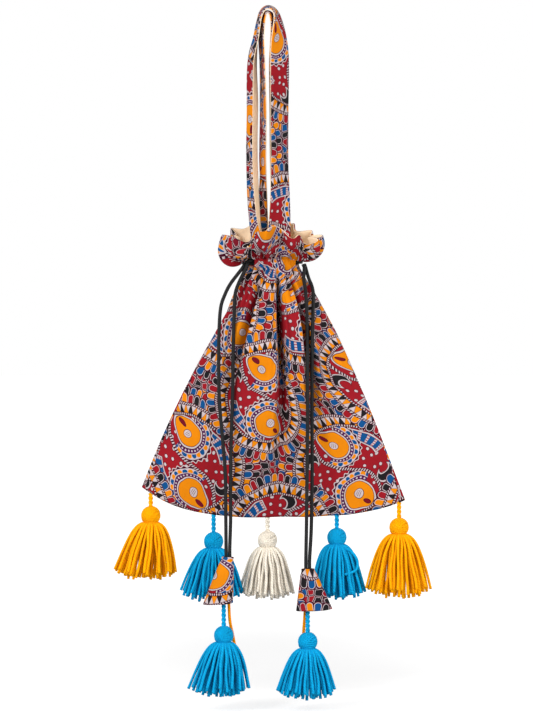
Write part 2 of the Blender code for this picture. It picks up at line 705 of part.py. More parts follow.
def main():
    clear_scene()
    panel("front_panel", True)
    panel("back_panel", False)
    lining()
    for side, made in DRAWSTRINGS.items():
        cord_in_channel(side + "_drawstring_in_channel", made["seam"], made["stack"])
    handle("front_handle", FRONT_HANDLE)
    handle("back_handle", BACK_HANDLE)
    for number, (x, head_drop, length, radius, lean, colour) in enumerate(HEM_TASSELS, 1):
        across = hem_across(x)
        hang = hem_point(across) - Vector((0, 0, HINGE_ROOM))
        tassel(f"hem_tassel_{number}", hang, head_drop - HINGE_ROOM, length, radius, lean, colour)
    samples = front_cloth_samples()
    for side in DRAWSTRINGS:
        drawstring(side, samples)


main()
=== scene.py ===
"""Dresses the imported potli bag: printed cotton, cream lining, black drawstrings and yarn tassels."""

import math
import random

import bmesh
import bpy
from bpy.props import FloatProperty, FloatVectorProperty, IntProperty, PointerProperty
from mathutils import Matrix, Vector, noise


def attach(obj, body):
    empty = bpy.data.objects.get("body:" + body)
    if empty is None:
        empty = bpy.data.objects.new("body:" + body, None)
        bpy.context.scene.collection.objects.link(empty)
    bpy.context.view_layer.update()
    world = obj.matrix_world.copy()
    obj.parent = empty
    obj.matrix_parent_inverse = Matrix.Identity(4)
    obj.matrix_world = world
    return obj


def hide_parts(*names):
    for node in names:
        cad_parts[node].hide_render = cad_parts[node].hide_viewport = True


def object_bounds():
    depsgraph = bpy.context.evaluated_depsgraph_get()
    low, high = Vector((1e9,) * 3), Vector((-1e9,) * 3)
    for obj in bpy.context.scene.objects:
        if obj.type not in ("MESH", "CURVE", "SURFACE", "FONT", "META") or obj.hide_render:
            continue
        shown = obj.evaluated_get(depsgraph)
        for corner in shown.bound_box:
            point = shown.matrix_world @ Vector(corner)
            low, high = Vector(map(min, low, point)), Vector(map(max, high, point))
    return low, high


bl_info = {
    "name": "Potli bag",
    "version": (1, 0, 0),
    "blender": (4, 5, 0),
    "location": "3D View > Sidebar > Potli bag",
    "description": "Printed drawstring bag with strap handles, cloth caps and yarn tassels",
    "category": "Object",
}

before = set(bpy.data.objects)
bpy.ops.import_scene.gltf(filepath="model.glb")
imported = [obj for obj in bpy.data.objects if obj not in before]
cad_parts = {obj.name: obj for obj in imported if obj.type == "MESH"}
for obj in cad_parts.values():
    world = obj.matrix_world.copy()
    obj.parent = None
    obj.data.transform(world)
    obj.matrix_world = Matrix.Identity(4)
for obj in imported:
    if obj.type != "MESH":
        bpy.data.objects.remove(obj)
PACKED_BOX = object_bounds()

# The bag's cloth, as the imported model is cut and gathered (metres, front is -Y)
NECK_DROP = 0.247
NECK_X = 0.002
NECK_HALF_WIDTH = 0.0245
NECK_HALF_DEPTH = 0.018
LEFT_SEAM = math.radians(222)
RIGHT_SEAM = math.radians(346)
CHANNEL_HALF = 0.0046
STITCH_HALF = 0.0085
BODY_LENGTH = 0.2565
HEM_LEFT = -0.127
HEM_RIGHT = 0.137
HEM_RISE_LEFT = 0.030
HEM_RISE_RIGHT = 0.017
HEM_CURVE = 3.4
HEM_WAVE = 0.0016
BELLY = 0.021
SIDE_BULGE_LEFT = (0.006, 1.3)
SIDE_BULGE_RIGHT = (0.010, 0.7)
FRILL = 0.041
CHANNEL_LIFT = 0.0030
NOTCH_ANGLE = math.radians(11)
LINING_END = 0.014
LINING_ROOM = 0.0045
HEM_ROOM = 0.0011

# Yarn and cords: radii, the turn of twisted pairs, the gaps between paired strands, and where they start
TAIL_RADIUS = 0.0015
STEM_RADIUS = 0.00125
LOOP_RADIUS = 0.00135
PAIR_PITCH = 0.009
NOTCH_HALF_GAP = 0.0021
CAP_HALF_GAP = 0.00185
RING_START = 0.27
CLOTH_CLEAR = 0.0004
STRAND_POINTS = 90
SKIRT_TOP = 0.72
GOLDEN_ANGLE = 2.39996

# The frill's path away from the channel: starting and final direction in degrees above level, the
# share of the length in which it turns, and its length
FRILL_LEFT = (-58.0, 96.0, 0.74, 0.044)
FRILL_RIGHT = (-36.0, 92.0, 0.80, 0.040)
FRILL_FRONT = (4.0, 82.0, 0.85, 0.038)
FRILL_BACK = (22.0, 92.0, 0.80, 0.041)

# Long pleats: (place across the panel, depth, width, reach down)
FRONT_PLEATS = (
    (0.23, 0.0120, 0.022, 0.50), (0.39, -0.0045, 0.060, 0.75), (0.535, 0.0200, 0.017, 0.85),
    (0.63, -0.0050, 0.045, 0.80), (0.725, 0.0160, 0.019, 0.75),
)
BACK_PLEATS = (
    (0.22, 0.0090, 0.035, 0.60), (0.48, 0.0110, 0.035, 0.80), (0.77, 0.0090, 0.035, 0.70),
)

# How much lower the frill's rim lies than its even curve: (direction and width in degrees, drop)
RIM_DIPS = (
    (238.0, 13.0, 0.0080), (270.0, 9.0, -0.0050), (296.0, 10.0, 0.0040), (322.0, 14.0, 0.0085),
)

# Handle stations, left foot to right foot: x, y, z of the middle, then the directions of the front and
# the rear half of the strap's width, in degrees from +Y towards the outside of the loop
FRONT_HANDLE = (
    (-0.0170, -0.0080, -0.2300, 245, -70), (-0.0205, -0.0060, -0.2050, 225, -75),
    (-0.0225, -0.0010, -0.1600, 213, -72), (-0.0225, 0.0000, -0.1000, 213, -72),
    (-0.0215, 0.0000, -0.0520, 211, -50), (-0.0155, 0.0000, -0.0260, 205, -20),
    (-0.0085, 0.0000, -0.0030, 190, 5), (0.0000, 0.0000, 0.0048, 187, 7),
    (0.0085, -0.0005, -0.0050, 192, 14), (0.0110, -0.0020, -0.0400, 222, 42),
    (0.0110, -0.0030, -0.1000, 223, 43), (0.0110, -0.0035, -0.1600, 223, 43),
    (0.0110, -0.0060, -0.2050, 235, 55), (0.0095, -0.0085, -0.2300, 260, 75),
)
BACK_HANDLE = (
    (-0.0130, 0.0090, -0.2300, 245, -70), (-0.0120, 0.0080, -0.2050, 240, -65),
    (-0.0080, 0.0050, -0.1600, 205, 0), (-0.0060, 0.0040, -0.1000, 198, 8),
    (-0.0062, 0.0030, -0.0500, 192, 10), (-0.0068, 0.0010, -0.0200, 190, 10),
    (-0.0045, 0.0000, -0.0035, 188, 8), (0.0000, 0.0000, 0.0000, 186, 6),
    (0.0035, 0.0010, -0.0045, 190, 10), (0.0062, 0.0030, -0.0200, 199, 19),
    (0.0080, 0.0070, -0.0500, 215, 35), (0.0100, 0.0090, -0.1000, 223, 43),
    (0.0105, 0.0090, -0.1600, 223, 38), (0.0130, 0.0085, -0.2050, 235, 0),
    (0.0155, 0.0080, -0.2300, 245, -40),
)

# Hem tassels from left to right: x, hem to head centre, head centre to the strands' ends, skirt
# radius, lean, colour
HEM_TASSELS = (
    (-0.1180, 0.0222, 0.0640, 0.0325, -0.005, "yellow"),
    (-0.0550, 0.0265, 0.0600, 0.0345, -0.001, "blue"),
    (-0.0010, 0.0231, 0.0585, 0.0275, 0.000, "white"),
    (0.0685, 0.0220, 0.0610, 0.0270, 0.002, "blue"),
    (0.1308, 0.0246, 0.0700, 0.0325, 0.000, "yellow"),
)

# The strand that curls loose from one hem tassel, from where that tassel hangs
STRAY_TASSEL = 4
STRAY_STRAND = (
    (0.004, -0.006, -0.032), (0.013, -0.011, -0.034), (0.020, -0.014, -0.043),
    (0.019, -0.015, -0.053), (0.008, -0.014, -0.058),
)

# What hangs on each drawstring: the cap's top and foot as (x, z) with its half widths and the print's
# shift, then its tassel and its yarn tail as (x, distance behind, z)
DRAWSTRINGS = {
    "left": {
        "seam": LEFT_SEAM, "stack": 0.0021, "hang_y": -0.03619,
        "top": (-0.0403, -0.5400), "foot": (-0.0503, -0.5865), "half_widths": (0.0052, 0.0142),
        "print": (-0.003, 0.102, 0),
        "tassel_x": -0.0445, "tassel_z": -0.5891, "tassel_drop": 0.0293, "skirt": (0.0606, 0.0320, -0.004),
        "tail": ((-0.0395, 0.003, -0.5850), (-0.0385, 0.006, -0.6040), (-0.0355, 0.010, -0.6200),
                 (-0.0325, 0.013, -0.6360)),
    },
    "right": {
        "seam": RIGHT_SEAM, "stack": -0.0021, "hang_y": -0.03394,
        "top": (0.0390, -0.5520), "foot": (0.0455, -0.5930), "half_widths": (0.0058, 0.0172),
        "print": (0.010, 0.070, 0),
        "tassel_x": 0.0390, "tassel_z": -0.5956, "tassel_drop": 0.0294, "skirt": (0.0570, 0.0310, -0.001),
        "tail": ((0.0366, 0.003, -0.5915), (0.0357, 0.006, -0.6045), (0.0348, 0.0122, -0.6206)),
    },
}

# The strands' hanging routes as (x, z), from under the neck down over the belly, after the side of the
# seam's notch that each leaves
STRANDS = (
    ("left_drawstring_outer_strand", "left", -1, (
        (-0.0310, -0.2600), (-0.0378, -0.2690), (-0.0430, -0.2790), (-0.0475, -0.2930), (-0.0492, -0.3200),
        (-0.0495, -0.3560), (-0.0485, -0.3900), (-0.0455, -0.4250), (-0.0430, -0.4580), (-0.0425, -0.5000),
    )),
    ("left_drawstring_inner_strand", "left", 1, (
        (-0.0262, -0.2610), (-0.0303, -0.2700), (-0.0332, -0.2800), (-0.0342, -0.3000), (-0.0348, -0.3200),
        (-0.0352, -0.3440), (-0.0358, -0.3840), (-0.0372, -0.4240), (-0.0377, -0.4700), (-0.0377, -0.5030),
    )),
    ("right_drawstring_inner_strand", "right", -1, (
        (0.0350, -0.2640), (0.0364, -0.2730), (0.0373, -0.2830), (0.0380, -0.2950), (0.0384, -0.3180),
        (0.0386, -0.3440), (0.0387, -0.3740), (0.0388, -0.4040), (0.0383, -0.4530), (0.0378, -0.5030),
    )),
    ("right_drawstring_outer_strand", "right", 1, (
        (0.0400, -0.2640), (0.0430, -0.2710), (0.0446, -0.2800), (0.0443, -0.2950), (0.0438, -0.3180),
        (0.0432, -0.3440), (0.0432, -0.3740), (0.0432, -0.4040), (0.0434, -0.4530), (0.0426, -0.5100),
    )),
)


def from_srgb(red, green, blue):
    """A colour given in 0-255 screen values, as the linear values Blender's sockets hold."""
    def linear(value):
        value /= 255
        return value / 12.92 if value <= 0.04045 else ((value + 0.055) / 1.055) ** 2.4
    return (linear(red), linear(green), linear(blue), 1.0)


def colour_property(name, description, red, green, blue):
    return FloatVectorProperty(
        name=name, description=description, subtype="COLOR", size=4, min=0, max=1,
        default=from_srgb(red, green, blue),
    )


def length_property(name, description, default):
    return FloatProperty(name=name, description=description, default=default, min=0.0001, unit="LENGTH")


class PotliPrintSettings(bpy.types.PropertyGroup):
    """Dye colours and sizes of the printed cotton."""

    red: colour_property("Red", "Red of the dotted bodies", 140, 18, 29)
    crimson: colour_property("Crimson", "Darker red of the scales and mouths", 104, 10, 28)
    orange: colour_property("Orange", "Orange-yellow of the heads and scales", 214, 124, 0)
    blue: colour_property("Blue", "Blue of the fins and scales", 6, 70, 124)
    black: colour_property("Black", "Soft black of the fins and triangles", 22, 20, 23)
    white: colour_property("White", "Undyed cotton between the printed shapes", 188, 174, 176)
    outline: colour_property("Outline", "Maroon of the drawn lines", 60, 4, 26)
    purple: colour_property("Purple", "Purple of the dotted collars", 70, 20, 70)
    medallion: length_property("Medallion spacing", "Distance between medallions in a layer", 0.154)
    scale: length_property("Scale spacing", "Size of the scales between the medallions", 0.0078)
    dot: length_property("Dot spacing", "Distance between the white dots on the red bodies", 0.0090)


class PotliBagSettings(bpy.types.PropertyGroup):
    """Sizes and colours of the cloth, cords and yarn."""

    cloth: length_property("Cloth", "Thickness of the printed cotton", 0.0009)
    lining: length_property("Lining", "Thickness of the lining cotton", 0.0008)
    strap_width: length_property("Strap width", "Flat width of a handle strap", 0.025)
    cord: length_property("Cord", "Thickness of the drawstrings", 0.0036)
    yarn: length_property("Yarn", "Thickness of the tassels' yarn", 0.0027)
    head: length_property("Head radius", "Radius of a tassel's wound head", 0.0100)
    strands: IntProperty(
        name="Strands", description="Yarn strands in each tassel", default=76, min=20, max=120
    )
    cream: colour_property("Cream", "Cream cotton of the lining and the handles' facing", 240, 214, 182)
    cord_black: colour_property("Cord black", "Black of the drawstrings", 10, 10, 11)
    yarn_yellow: colour_property("Yellow yarn", "Orange-yellow yarn of the corner tassels", 255, 172, 0)
    yarn_orange: colour_property("Orange yarn", "Orange yarn tails under the caps", 255, 150, 0)
    yarn_blue: colour_property("Blue yarn", "Bright blue yarn", 6, 160, 214)
    yarn_white: colour_property("White yarn", "Natural white yarn of the middle tassel", 238, 229, 213)


def bag_settings():
    return bpy.context.scene.potli_bag


def print_settings():
    return bpy.context.scene.potli_print


# Nodes


class Graph:
    """Adds nodes to a tree. A value given to a node may be a number, a colour or another node's socket."""

    def __init__(self, tree):
        self.tree = tree

    def add(self, kind, **settings):
        node = self.tree.nodes.new(kind)
        for name, value in settings.items():
            setattr(node, name, value)
        return node

    def feed(self, socket, value):
        if isinstance(value, bpy.types.NodeSocket):
            self.tree.links.new(value, socket)
        elif hasattr(value, "__len__"):
            socket.default_value = tuple(value)[:len(socket.default_value)]
        else:
            socket.default_value = value

    def math(self, operation, first, second=0.0):
        node = self.add("ShaderNodeMath", operation=operation)
        for socket, value in zip(node.inputs, (first, second)):
            self.feed(socket, value)
        return node.outputs[0]

    def plus(self, first, second):
        return self.math("ADD", first, second)

    def minus(self, first, second):
        return self.math("SUBTRACT", first, second)

    def times(self, first, second):
        return self.math("MULTIPLY", first, second)

    def vector(self, operation, first, second=(0, 0, 0), factor=None):
        node = self.add("ShaderNodeVectorMath", operation=operation)
        self.feed(node.inputs[0], first)
        self.feed(node.inputs[1], second)
        if factor is not None:
            self.feed(node.inputs["Scale"], factor)
        return node.outputs["Value" if operation == "LENGTH" else "Vector"]

    def split(self, vector):
        node = self.add("ShaderNodeSeparateXYZ")
        self.feed(node.inputs[0], vector)
        return node.outputs["X"], node.outputs["Y"]

    def mix(self, mask, below, above):
        """The colour above where the mask is 1, the colour below where it is 0."""
        node = self.add("ShaderNodeMix", data_type="RGBA")
        self.feed(node.inputs["Factor"], mask)
        self.feed(node.inputs[6], below)
        self.feed(node.inputs[7], above)
        return node.outputs[2]

    def less(self, value, limit):
        return self.math("LESS_THAN", value, limit)

    def between(self, value, low, high):
        return self.times(self.math("GREATER_THAN", value, low), self.less(value, high))

    def voronoi(self, vector, spacing, randomness, feature="F1"):
        node = self.add("ShaderNodeTexVoronoi", voronoi_dimensions="2D", feature=feature)
        given = (("Vector", vector), ("Scale", 1 / spacing), ("Randomness", randomness))
        for name, value in given:
            self.feed(node.inputs[name], value)
        return node

    def noise(self, vector, scale, detail=2.0, roughness=0.5):
        node = self.add("ShaderNodeTexNoise")
        given = (("Vector", vector), ("Scale", scale), ("Detail", detail), ("Roughness", roughness))
        for name, value in given:
            self.feed(node.inputs[name], value)
        return node

    def steps(self, value, colours):
        """Equal steps of colour over 0 to 1."""
        node = self.add("ShaderNodeValToRGB")
        ramp = node.color_ramp
        ramp.interpolation = "CONSTANT"
        while len(ramp.elements) < len(colours):
            ramp.elements.new(0.5)
        for place, (element, colour) in enumerate(zip(ramp.elements, colours)):
            element.position = place / len(colours)
            element.color = colour
        self.feed(node.inputs[0], value)
        return node.outputs["Color"]


def new_group(name, inputs, outputs):
    """A shader node group with named sockets: (name, kind, default) in and (name, kind) out."""
    tree = bpy.data.node_groups.new(name, "ShaderNodeTree")
    for label, kind, default in inputs:
        socket = tree.interface.new_socket(label, in_out="INPUT", socket_type=kind)
        if default is not None:
            socket.default_value = default
    for label, kind in outputs:
        tree.interface.new_socket(label, in_out="OUTPUT", socket_type=kind)
    graph = Graph(tree)
    return tree, graph, graph.add("NodeGroupInput").outputs, graph.add("NodeGroupOutput").inputs


TURN = 2 * math.pi
PLY_SPACING = 0.0027
# painted shade: the share of the yarn's colour kept in the grooves between its plies
PLY_GROOVE_SHADE = 0.86

# The print is drawn in millimetres. Outer radius of each band of a medallion, its counts, the length and
# half width of a petal, its outlines, the S line's swing and pitch, and the share of a rope that is white
MM = 1000.0
RINGS = {
    "field": 44.0, "inner_rope": 46.4, "triangles": 54.0, "outer_rope": 56.6, "second_row": 64.2,
}
PETALS, OUTER_PETALS, TRIANGLES = 52, 56, 60
PETAL_LENGTH = 8.6
PETAL_HALF = 3.3
PETAL_EDGES = (4.4, 3.2, 2.65)
S_LINE = (9.0, math.pi / 46)
STROKE = 0.46
DOT_EDGES = (1.95, 1.5)
EYE_EDGES = (4.5, 4.0, 2.9)


def polar(graph, vector, count, shift=0.0):
    """Which of count equal sectors a point is in, and how far through it, from -0.5 to 0.5."""
    x, y = graph.split(vector)
    sector = graph.plus(graph.times(graph.math("ARCTAN2", y, x), count / TURN), shift)
    number = graph.math("FLOOR", sector)
    return number, graph.minus(graph.minus(sector, number), 0.5)


def far(graph, x, y):
    """Distance from two coordinates."""
    squares = [graph.times(value, value) for value in (x, y)]
    return graph.math("SQRT", graph.plus(*squares))


def rotated(graph, vector, angle):
    node = graph.add("ShaderNodeVectorRotate", rotation_type="Z_AXIS")
    graph.feed(node.inputs["Vector"], vector)
    graph.feed(node.inputs["Angle"], angle)
    return node.outputs[0]


def scale_field(graph, cloth, palette, ink):
    """The small scales that fill the cloth between medallions."""
    spacing = ink.scale * MM
    cells = graph.voronoi(cloth, spacing, 0.6)
    edges = graph.voronoi(cloth, spacing, 0.6, "DISTANCE_TO_EDGE")
    away = graph.times(edges.outputs["Distance"], spacing)
    colour = graph.steps(graph.split(cells.outputs["Color"])[0], palette)
    for width, line in ((0.95, ink.white), (0.55, ink.outline)):
        colour = graph.mix(graph.less(away, width), colour, line)
    return colour


def petal_row(graph, below, spin, radius, base, count, shift, ink):
    """Rounded petals standing on a circle, in four colours that take turns."""
    number, off = polar(graph, spin, count, shift)
    across = graph.times(graph.times(off, radius), TURN / count)
    out = graph.math("MAXIMUM", graph.minus(radius, base + PETAL_LENGTH - PETAL_HALF), 0.0)
    reach = far(graph, across, out)
    turn = graph.math("DIVIDE", graph.plus(graph.math("FLOORED_MODULO", number, 4.0), 0.5), 4.0)
    colour = graph.steps(turn, [tuple(c) for c in (ink.black, ink.red, ink.orange, ink.blue)])
    outside = graph.math("GREATER_THAN", radius, base)
    made = below
    for size, line in zip(PETAL_EDGES, (ink.outline, ink.white, colour)):
        made = graph.mix(graph.times(graph.less(reach, size), outside), made, line)
    return made


def rope(graph, below, spin, radius, low, high, count, slant, ink):
    """A band of white beads or strokes on maroon, between two thin lines."""
    x, y = graph.split(spin)
    phase = graph.plus(graph.times(graph.math("ARCTAN2", y, x), count / TURN),
                       graph.times(radius, slant))
    stroke = graph.less(graph.math("FRACT", phase), STROKE)
    made = graph.mix(graph.between(radius, low, high), below, graph.mix(stroke, ink.outline, ink.white))
    for edge in (low, high):
        made = graph.mix(graph.between(radius, edge - 0.3, edge + 0.35), made, ink.outline)
    return made


def triangle_ring(graph, below, spin, radius, ink):
    """Black and orange triangles that point outwards by turns, with white ones between them."""
    low, high = RINGS["inner_rope"], RINGS["triangles"]
    number, off = polar(graph, spin, TRIANGLES)
    climb = graph.math("DIVIDE", graph.minus(radius, low), high - low)
    side = graph.times(graph.math("ABSOLUTE", off), 2.0)
    odd = graph.math("FLOORED_MODULO", number, 2.0)
    lean = graph.minus(graph.minus(1.16, side), climb)
    colour = graph.mix(odd, ink.black, ink.orange)
    colour = graph.mix(graph.less(lean, 0.09), colour, ink.outline)
    colour = graph.mix(graph.less(lean, 0.0), colour, ink.white)
    return graph.mix(graph.between(radius, low, high), below, colour)


def dotted_red(graph, cloth, ink):
    """Red cloth with outlined white dots."""
    spacing = ink.dot * MM
    dots = graph.voronoi(cloth, spacing, 0.45)
    away = graph.times(dots.outputs["Distance"], spacing)
    colour = graph.mix(graph.less(away, DOT_EDGES[0]), ink.red, ink.outline)
    return graph.mix(graph.less(away, DOT_EDGES[1]), colour, ink.white)


def offset(graph, spin, x, y):
    return graph.vector("SUBTRACT", spin, (x, y, 0))


def striped_fin(graph, below, half, radius, ink):
    """A curved blue fin along the ring, crossed by white lines with maroon stitches."""
    x, y = graph.split(half)
    angle = graph.times(graph.math("ARCTAN2", y, x), 360 / TURN)
    number, off = polar(graph, half, 32)
    off = graph.math("ABSOLUTE", off)
    stitch = graph.less(graph.math("FRACT", graph.times(radius, 0.45)), 0.35)
    line = graph.mix(stitch, ink.white, ink.red)
    bars = graph.mix(graph.math("GREATER_THAN", off, 0.33), ink.blue, line)
    made = below
    for room, colour in ((1.9, ink.outline), (1.5, ink.white), (0.4, ink.outline), (0.0, bars)):
        ends = graph.between(angle, 66 - room * 1.5, 122 + room * 1.5)
        inside = graph.times(graph.between(radius, 33.0 - room, 41.0 + room), ends)
        made = graph.mix(inside, made, colour)
    return made


def crescent(graph, below, half, middle, radius, bite, ink, colour):
    """A drawn crescent: a disc with a smaller disc bitten out of it."""
    away = graph.vector("LENGTH", offset(graph, half, *middle))
    bitten = graph.vector("LENGTH", offset(graph, half, middle[0] + bite[0], middle[1] + bite[1]))
    made = below
    for room, line in ((1.6, ink.outline), (1.1, ink.white), (0.0, colour)):
        outside = graph.math("GREATER_THAN", bitten, radius * 0.8 - room)
        inside = graph.times(graph.less(away, radius + room), outside)
        made = graph.mix(inside, made, line)
    return made


def collar(graph, below, head, away, behind, ink):
    """The bands behind a fish's head: white arc, dotted purple, petals and a scalloped edge."""
    number, off = polar(graph, head, 24)
    wave = graph.times(graph.math("COSINE", graph.times(off, TURN)), 0.9)
    edge = graph.minus(away, wave)
    petals = graph.mix(graph.math("FLOORED_MODULO", number, 2.0), ink.orange, ink.blue)
    arc = graph.times(off, TURN / 24 * 20)
    lobe = far(graph, arc, graph.math("MAXIMUM", graph.minus(away, 19.6), 0.0))
    bead, along = polar(graph, head, 30)
    spot = far(graph, graph.times(along, 3.3), graph.minus(away, 15.9))
    bands = (
        (edge, 25.4, ink.white), (edge, 24.4, ink.outline), (away, 22.9, ink.white), (lobe, 2.4, petals),
        (away, 18.4, ink.white), (away, 17.7, ink.purple), (spot, 0.8, ink.white), (away, 14.2, ink.white),
    )
    made = below
    for measure, limit, colour in bands:
        made = graph.mix(graph.times(behind, graph.less(measure, limit)), made, colour)
    return made


def fish_head(graph, below, half, ink):
    """A pointed orange head with an eye and a mouth, and its collar."""
    head = rotated(graph, offset(graph, half, -23.5, 14.0), math.radians(-200))
    x, y = graph.split(head)
    away = graph.vector("LENGTH", head)
    made = collar(graph, below, head, away, graph.less(x, 2.5), ink)
    ahead = graph.math("MAXIMUM", graph.math("COSINE", graph.math("ARCTAN2", y, x)), 0.0)
    snout = graph.times(away, graph.minus(1.0, graph.math("MULTIPLY",
                       graph.math("POWER", ahead, 5.0), 0.34)))
    for limit, colour in ((14.6, ink.outline), (14.1, ink.white), (12.9, ink.outline), (12.4, ink.orange)):
        made = graph.mix(graph.less(snout, limit), made, colour)
    eye = offset(graph, head, 2.0, 1.5)
    stripe = graph.less(graph.math("FRACT", graph.times(x, 0.62)), 0.24)
    eye = graph.vector("LENGTH", eye)
    rim, ball, lines = (graph.less(eye, limit) for limit in EYE_EDGES)
    for mask, colour in ((rim, ink.outline), (ball, ink.white), (graph.times(stripe, lines), ink.outline)):
        made = graph.mix(mask, made, colour)
    mouth = graph.vector("LENGTH", graph.vector("MULTIPLY", offset(graph, head, 12.2, -2.0), (0.55, 1.15, 1)))
    made = graph.mix(graph.less(mouth, 2.8), made, ink.outline)
    return graph.mix(graph.less(mouth, 2.4), made, ink.crimson)


def medallion_field(graph, cloth, spin, ink):
    """Two fishes nose to tail in a circle, parted by a roped S line."""
    x, y = graph.split(spin)
    bend, pitch = S_LINE
    line = graph.times(graph.math("SINE", graph.times(x, pitch)), bend)
    above = graph.minus(y, line)
    half = graph.vector("SCALE", spin, factor=graph.math("SIGN", above))
    radius = graph.vector("LENGTH", spin)
    made = dotted_red(graph, cloth, ink)
    made = crescent(graph, made, half, (34.0, 17.0), 7.5, (-5.0, 2.5), ink, ink.black)
    made = striped_fin(graph, made, half, radius, ink)
    made = crescent(graph, made, half, (-25.0, 33.0), 8.5, (5.0, -3.0), ink, ink.black)
    made = fish_head(graph, made, half, ink)
    near = graph.math("ABSOLUTE", above)
    stroke = graph.less(graph.math("FRACT", graph.times(x, 0.42)), STROKE)
    made = graph.mix(graph.less(near, 2.0), made, ink.outline)
    return graph.mix(graph.less(near, 1.5), made, graph.mix(stroke, ink.outline, ink.white))


def medallions(graph, below, cloth, rows, ink):
    """One layer of turned medallions: fishes, a ring of triangles between ropes, and rows of petals."""
    cells = graph.voronoi(cloth, ink.medallion * MM, 0.14)
    local = graph.vector("SUBTRACT", cloth, cells.outputs["Position"])
    chance = graph.split(cells.outputs["Color"])
    spin = rotated(graph, local, graph.times(chance[0], TURN))
    radius = graph.vector("LENGTH", local)
    colour = below
    if rows > 1:
        colour = petal_row(graph, colour, spin, radius, RINGS["second_row"], OUTER_PETALS, 0.5, ink)
    colour = petal_row(graph, colour, spin, radius, RINGS["outer_rope"], PETALS, 0.0, ink)
    colour = triangle_ring(graph, colour, spin, radius, ink)
    colour = rope(graph, colour, spin, radius, RINGS["triangles"], RINGS["outer_rope"], 150, 0.24, ink)
    colour = graph.mix(graph.less(radius, RINGS["field"]), colour, medallion_field(graph, cloth, spin, ink))
    return rope(graph, colour, spin, radius, RINGS["field"], RINGS["inner_rope"], 122, 0.05, ink)


def print_group():
    """The fish print as colour fields, worked out from a place on the flat cloth."""
    tree, graph, given, made = new_group(
        "fish_print", [("Cloth", "NodeSocketVector", None)], [("Color", "NodeSocketColor")]
    )
    ink = print_settings()
    dyes = (ink.red, ink.blue, ink.orange, ink.black, ink.crimson, ink.orange, ink.red, ink.black)
    palette = [tuple(dye) for dye in dyes]
    cloth = graph.vector("SCALE", given["Cloth"], factor=MM)
    wobble = graph.noise(cloth, 0.05, 1.0).outputs["Color"]
    wobble = graph.vector("SCALE", graph.vector("SUBTRACT", wobble, (0.5, 0.5, 0.5)), factor=6.0)
    cloth = graph.vector("ADD", cloth, wobble)
    colour = scale_field(graph, cloth, palette, ink)
    spacing = ink.medallion * MM
    for shift, rows in ((spacing / 2, 2), (0, 1)):
        colour = medallions(graph, colour, graph.vector("ADD", cloth, (shift, shift, 0)), rows, ink)
    graph.feed(made["Color"], colour)
    return tree


def weave_group():
    """A plain cotton weave: a height for bump and a slow change of tone."""
    tree, graph, given, made = new_group(
        "cotton_weave", [("Cloth", "NodeSocketVector", None), ("Threads", "NodeSocketFloat", 2.2)],
        [("Height", "NodeSocketFloat"), ("Tone", "NodeSocketFloat")],
    )
    cloth = graph.vector("SCALE", given["Cloth"], factor=MM)
    threads = graph.vector("SCALE", cloth, factor=given["Threads"])
    x, y = graph.split(threads)
    warp = graph.math("SINE", graph.times(x, math.pi))
    weft = graph.math("SINE", graph.times(y, math.pi))
    cross = graph.times(warp, weft)
    slub = graph.noise(cloth, 0.9, 3.0, 0.6).outputs["Fac"]
    graph.feed(made["Height"], graph.plus(graph.times(cross, 0.5), slub))
    graph.feed(made["Tone"], graph.noise(cloth, 0.045, 3.0, 0.55).outputs["Fac"])
    return tree


def yarn_group():
    """Wool yarn: fine fibre for bump and a change of tone from strand to strand."""
    tree, graph, given, made = new_group(
        "wool_fibre", [("Place", "NodeSocketVector", None)],
        [("Height", "NodeSocketFloat"), ("Tone", "NodeSocketFloat")],
    )
    place = graph.vector("SCALE", given["Place"], factor=MM)
    fibre = graph.noise(graph.vector("MULTIPLY", place, (1.0, 1.0, 0.35)), 3.2, 3.0, 0.65).outputs["Fac"]
    graph.feed(made["Height"], fibre)
    graph.feed(made["Tone"], graph.noise(place, 0.22, 2.0, 0.5).outputs["Fac"])
    return tree


def shared_group(name):
    makers = {"fish_print": print_group, "cotton_weave": weave_group, "wool_fibre": yarn_group}
    return bpy.data.node_groups.get(name) or makers[name]()


def new_material(name, roughness, specular=0.12):
    """A material with its Principled shader's plain values set."""
    made = bpy.data.materials.new(name)
    made.use_nodes = True
    shader = made.node_tree.nodes["Principled BSDF"]
    shader.inputs["Roughness"].default_value = roughness
    shader.inputs["Specular IOR Level"].default_value = specular
    return made, Graph(made.node_tree), shader


def group_node(graph, name):
    return graph.add("ShaderNodeGroup", node_tree=shared_group(name))


def toned(graph, colour, tone, low, high):
    """A colour made darker or lighter by a mask."""
    ramp = graph.add("ShaderNodeMapRange")
    given = (("Value", tone), ("From Min", 0.3), ("From Max", 0.7), ("To Min", low), ("To Max", high))
    for name, value in given:
        graph.feed(ramp.inputs[name], value)
    return graph.vector("SCALE", colour, factor=ramp.outputs["Result"])


def bumped(graph, shader, height, distance, strength):
    bump = graph.add("ShaderNodeBump")
    bump.inputs["Strength"].default_value = strength
    bump.inputs["Distance"].default_value = distance
    graph.feed(bump.inputs["Height"], height)
    graph.feed(shader.inputs["Normal"], bump.outputs["Normal"])


def cloth_place(graph):
    """The place on the flat cloth, from the piece's own UV map in metres."""
    return graph.add("ShaderNodeUVMap", uv_map="cloth").outputs["UV"]


def printed_cotton(name, shift):
    """Printed cotton, with the print shifted so that no two panels match."""
    made, graph, shader = new_material(name, 0.82)
    place = graph.vector("ADD", cloth_place(graph), shift)
    pattern = group_node(graph, "fish_print")
    graph.feed(pattern.inputs["Cloth"], place)
    weave = group_node(graph, "cotton_weave")
    graph.feed(weave.inputs["Cloth"], place)
    colour = toned(graph, pattern.outputs["Color"], weave.outputs["Tone"], 0.90, 1.05)
    graph.feed(shader.inputs["Base Color"], colour)
    bumped(graph, shader, weave.outputs["Height"], 0.00012, 0.5)
    return made


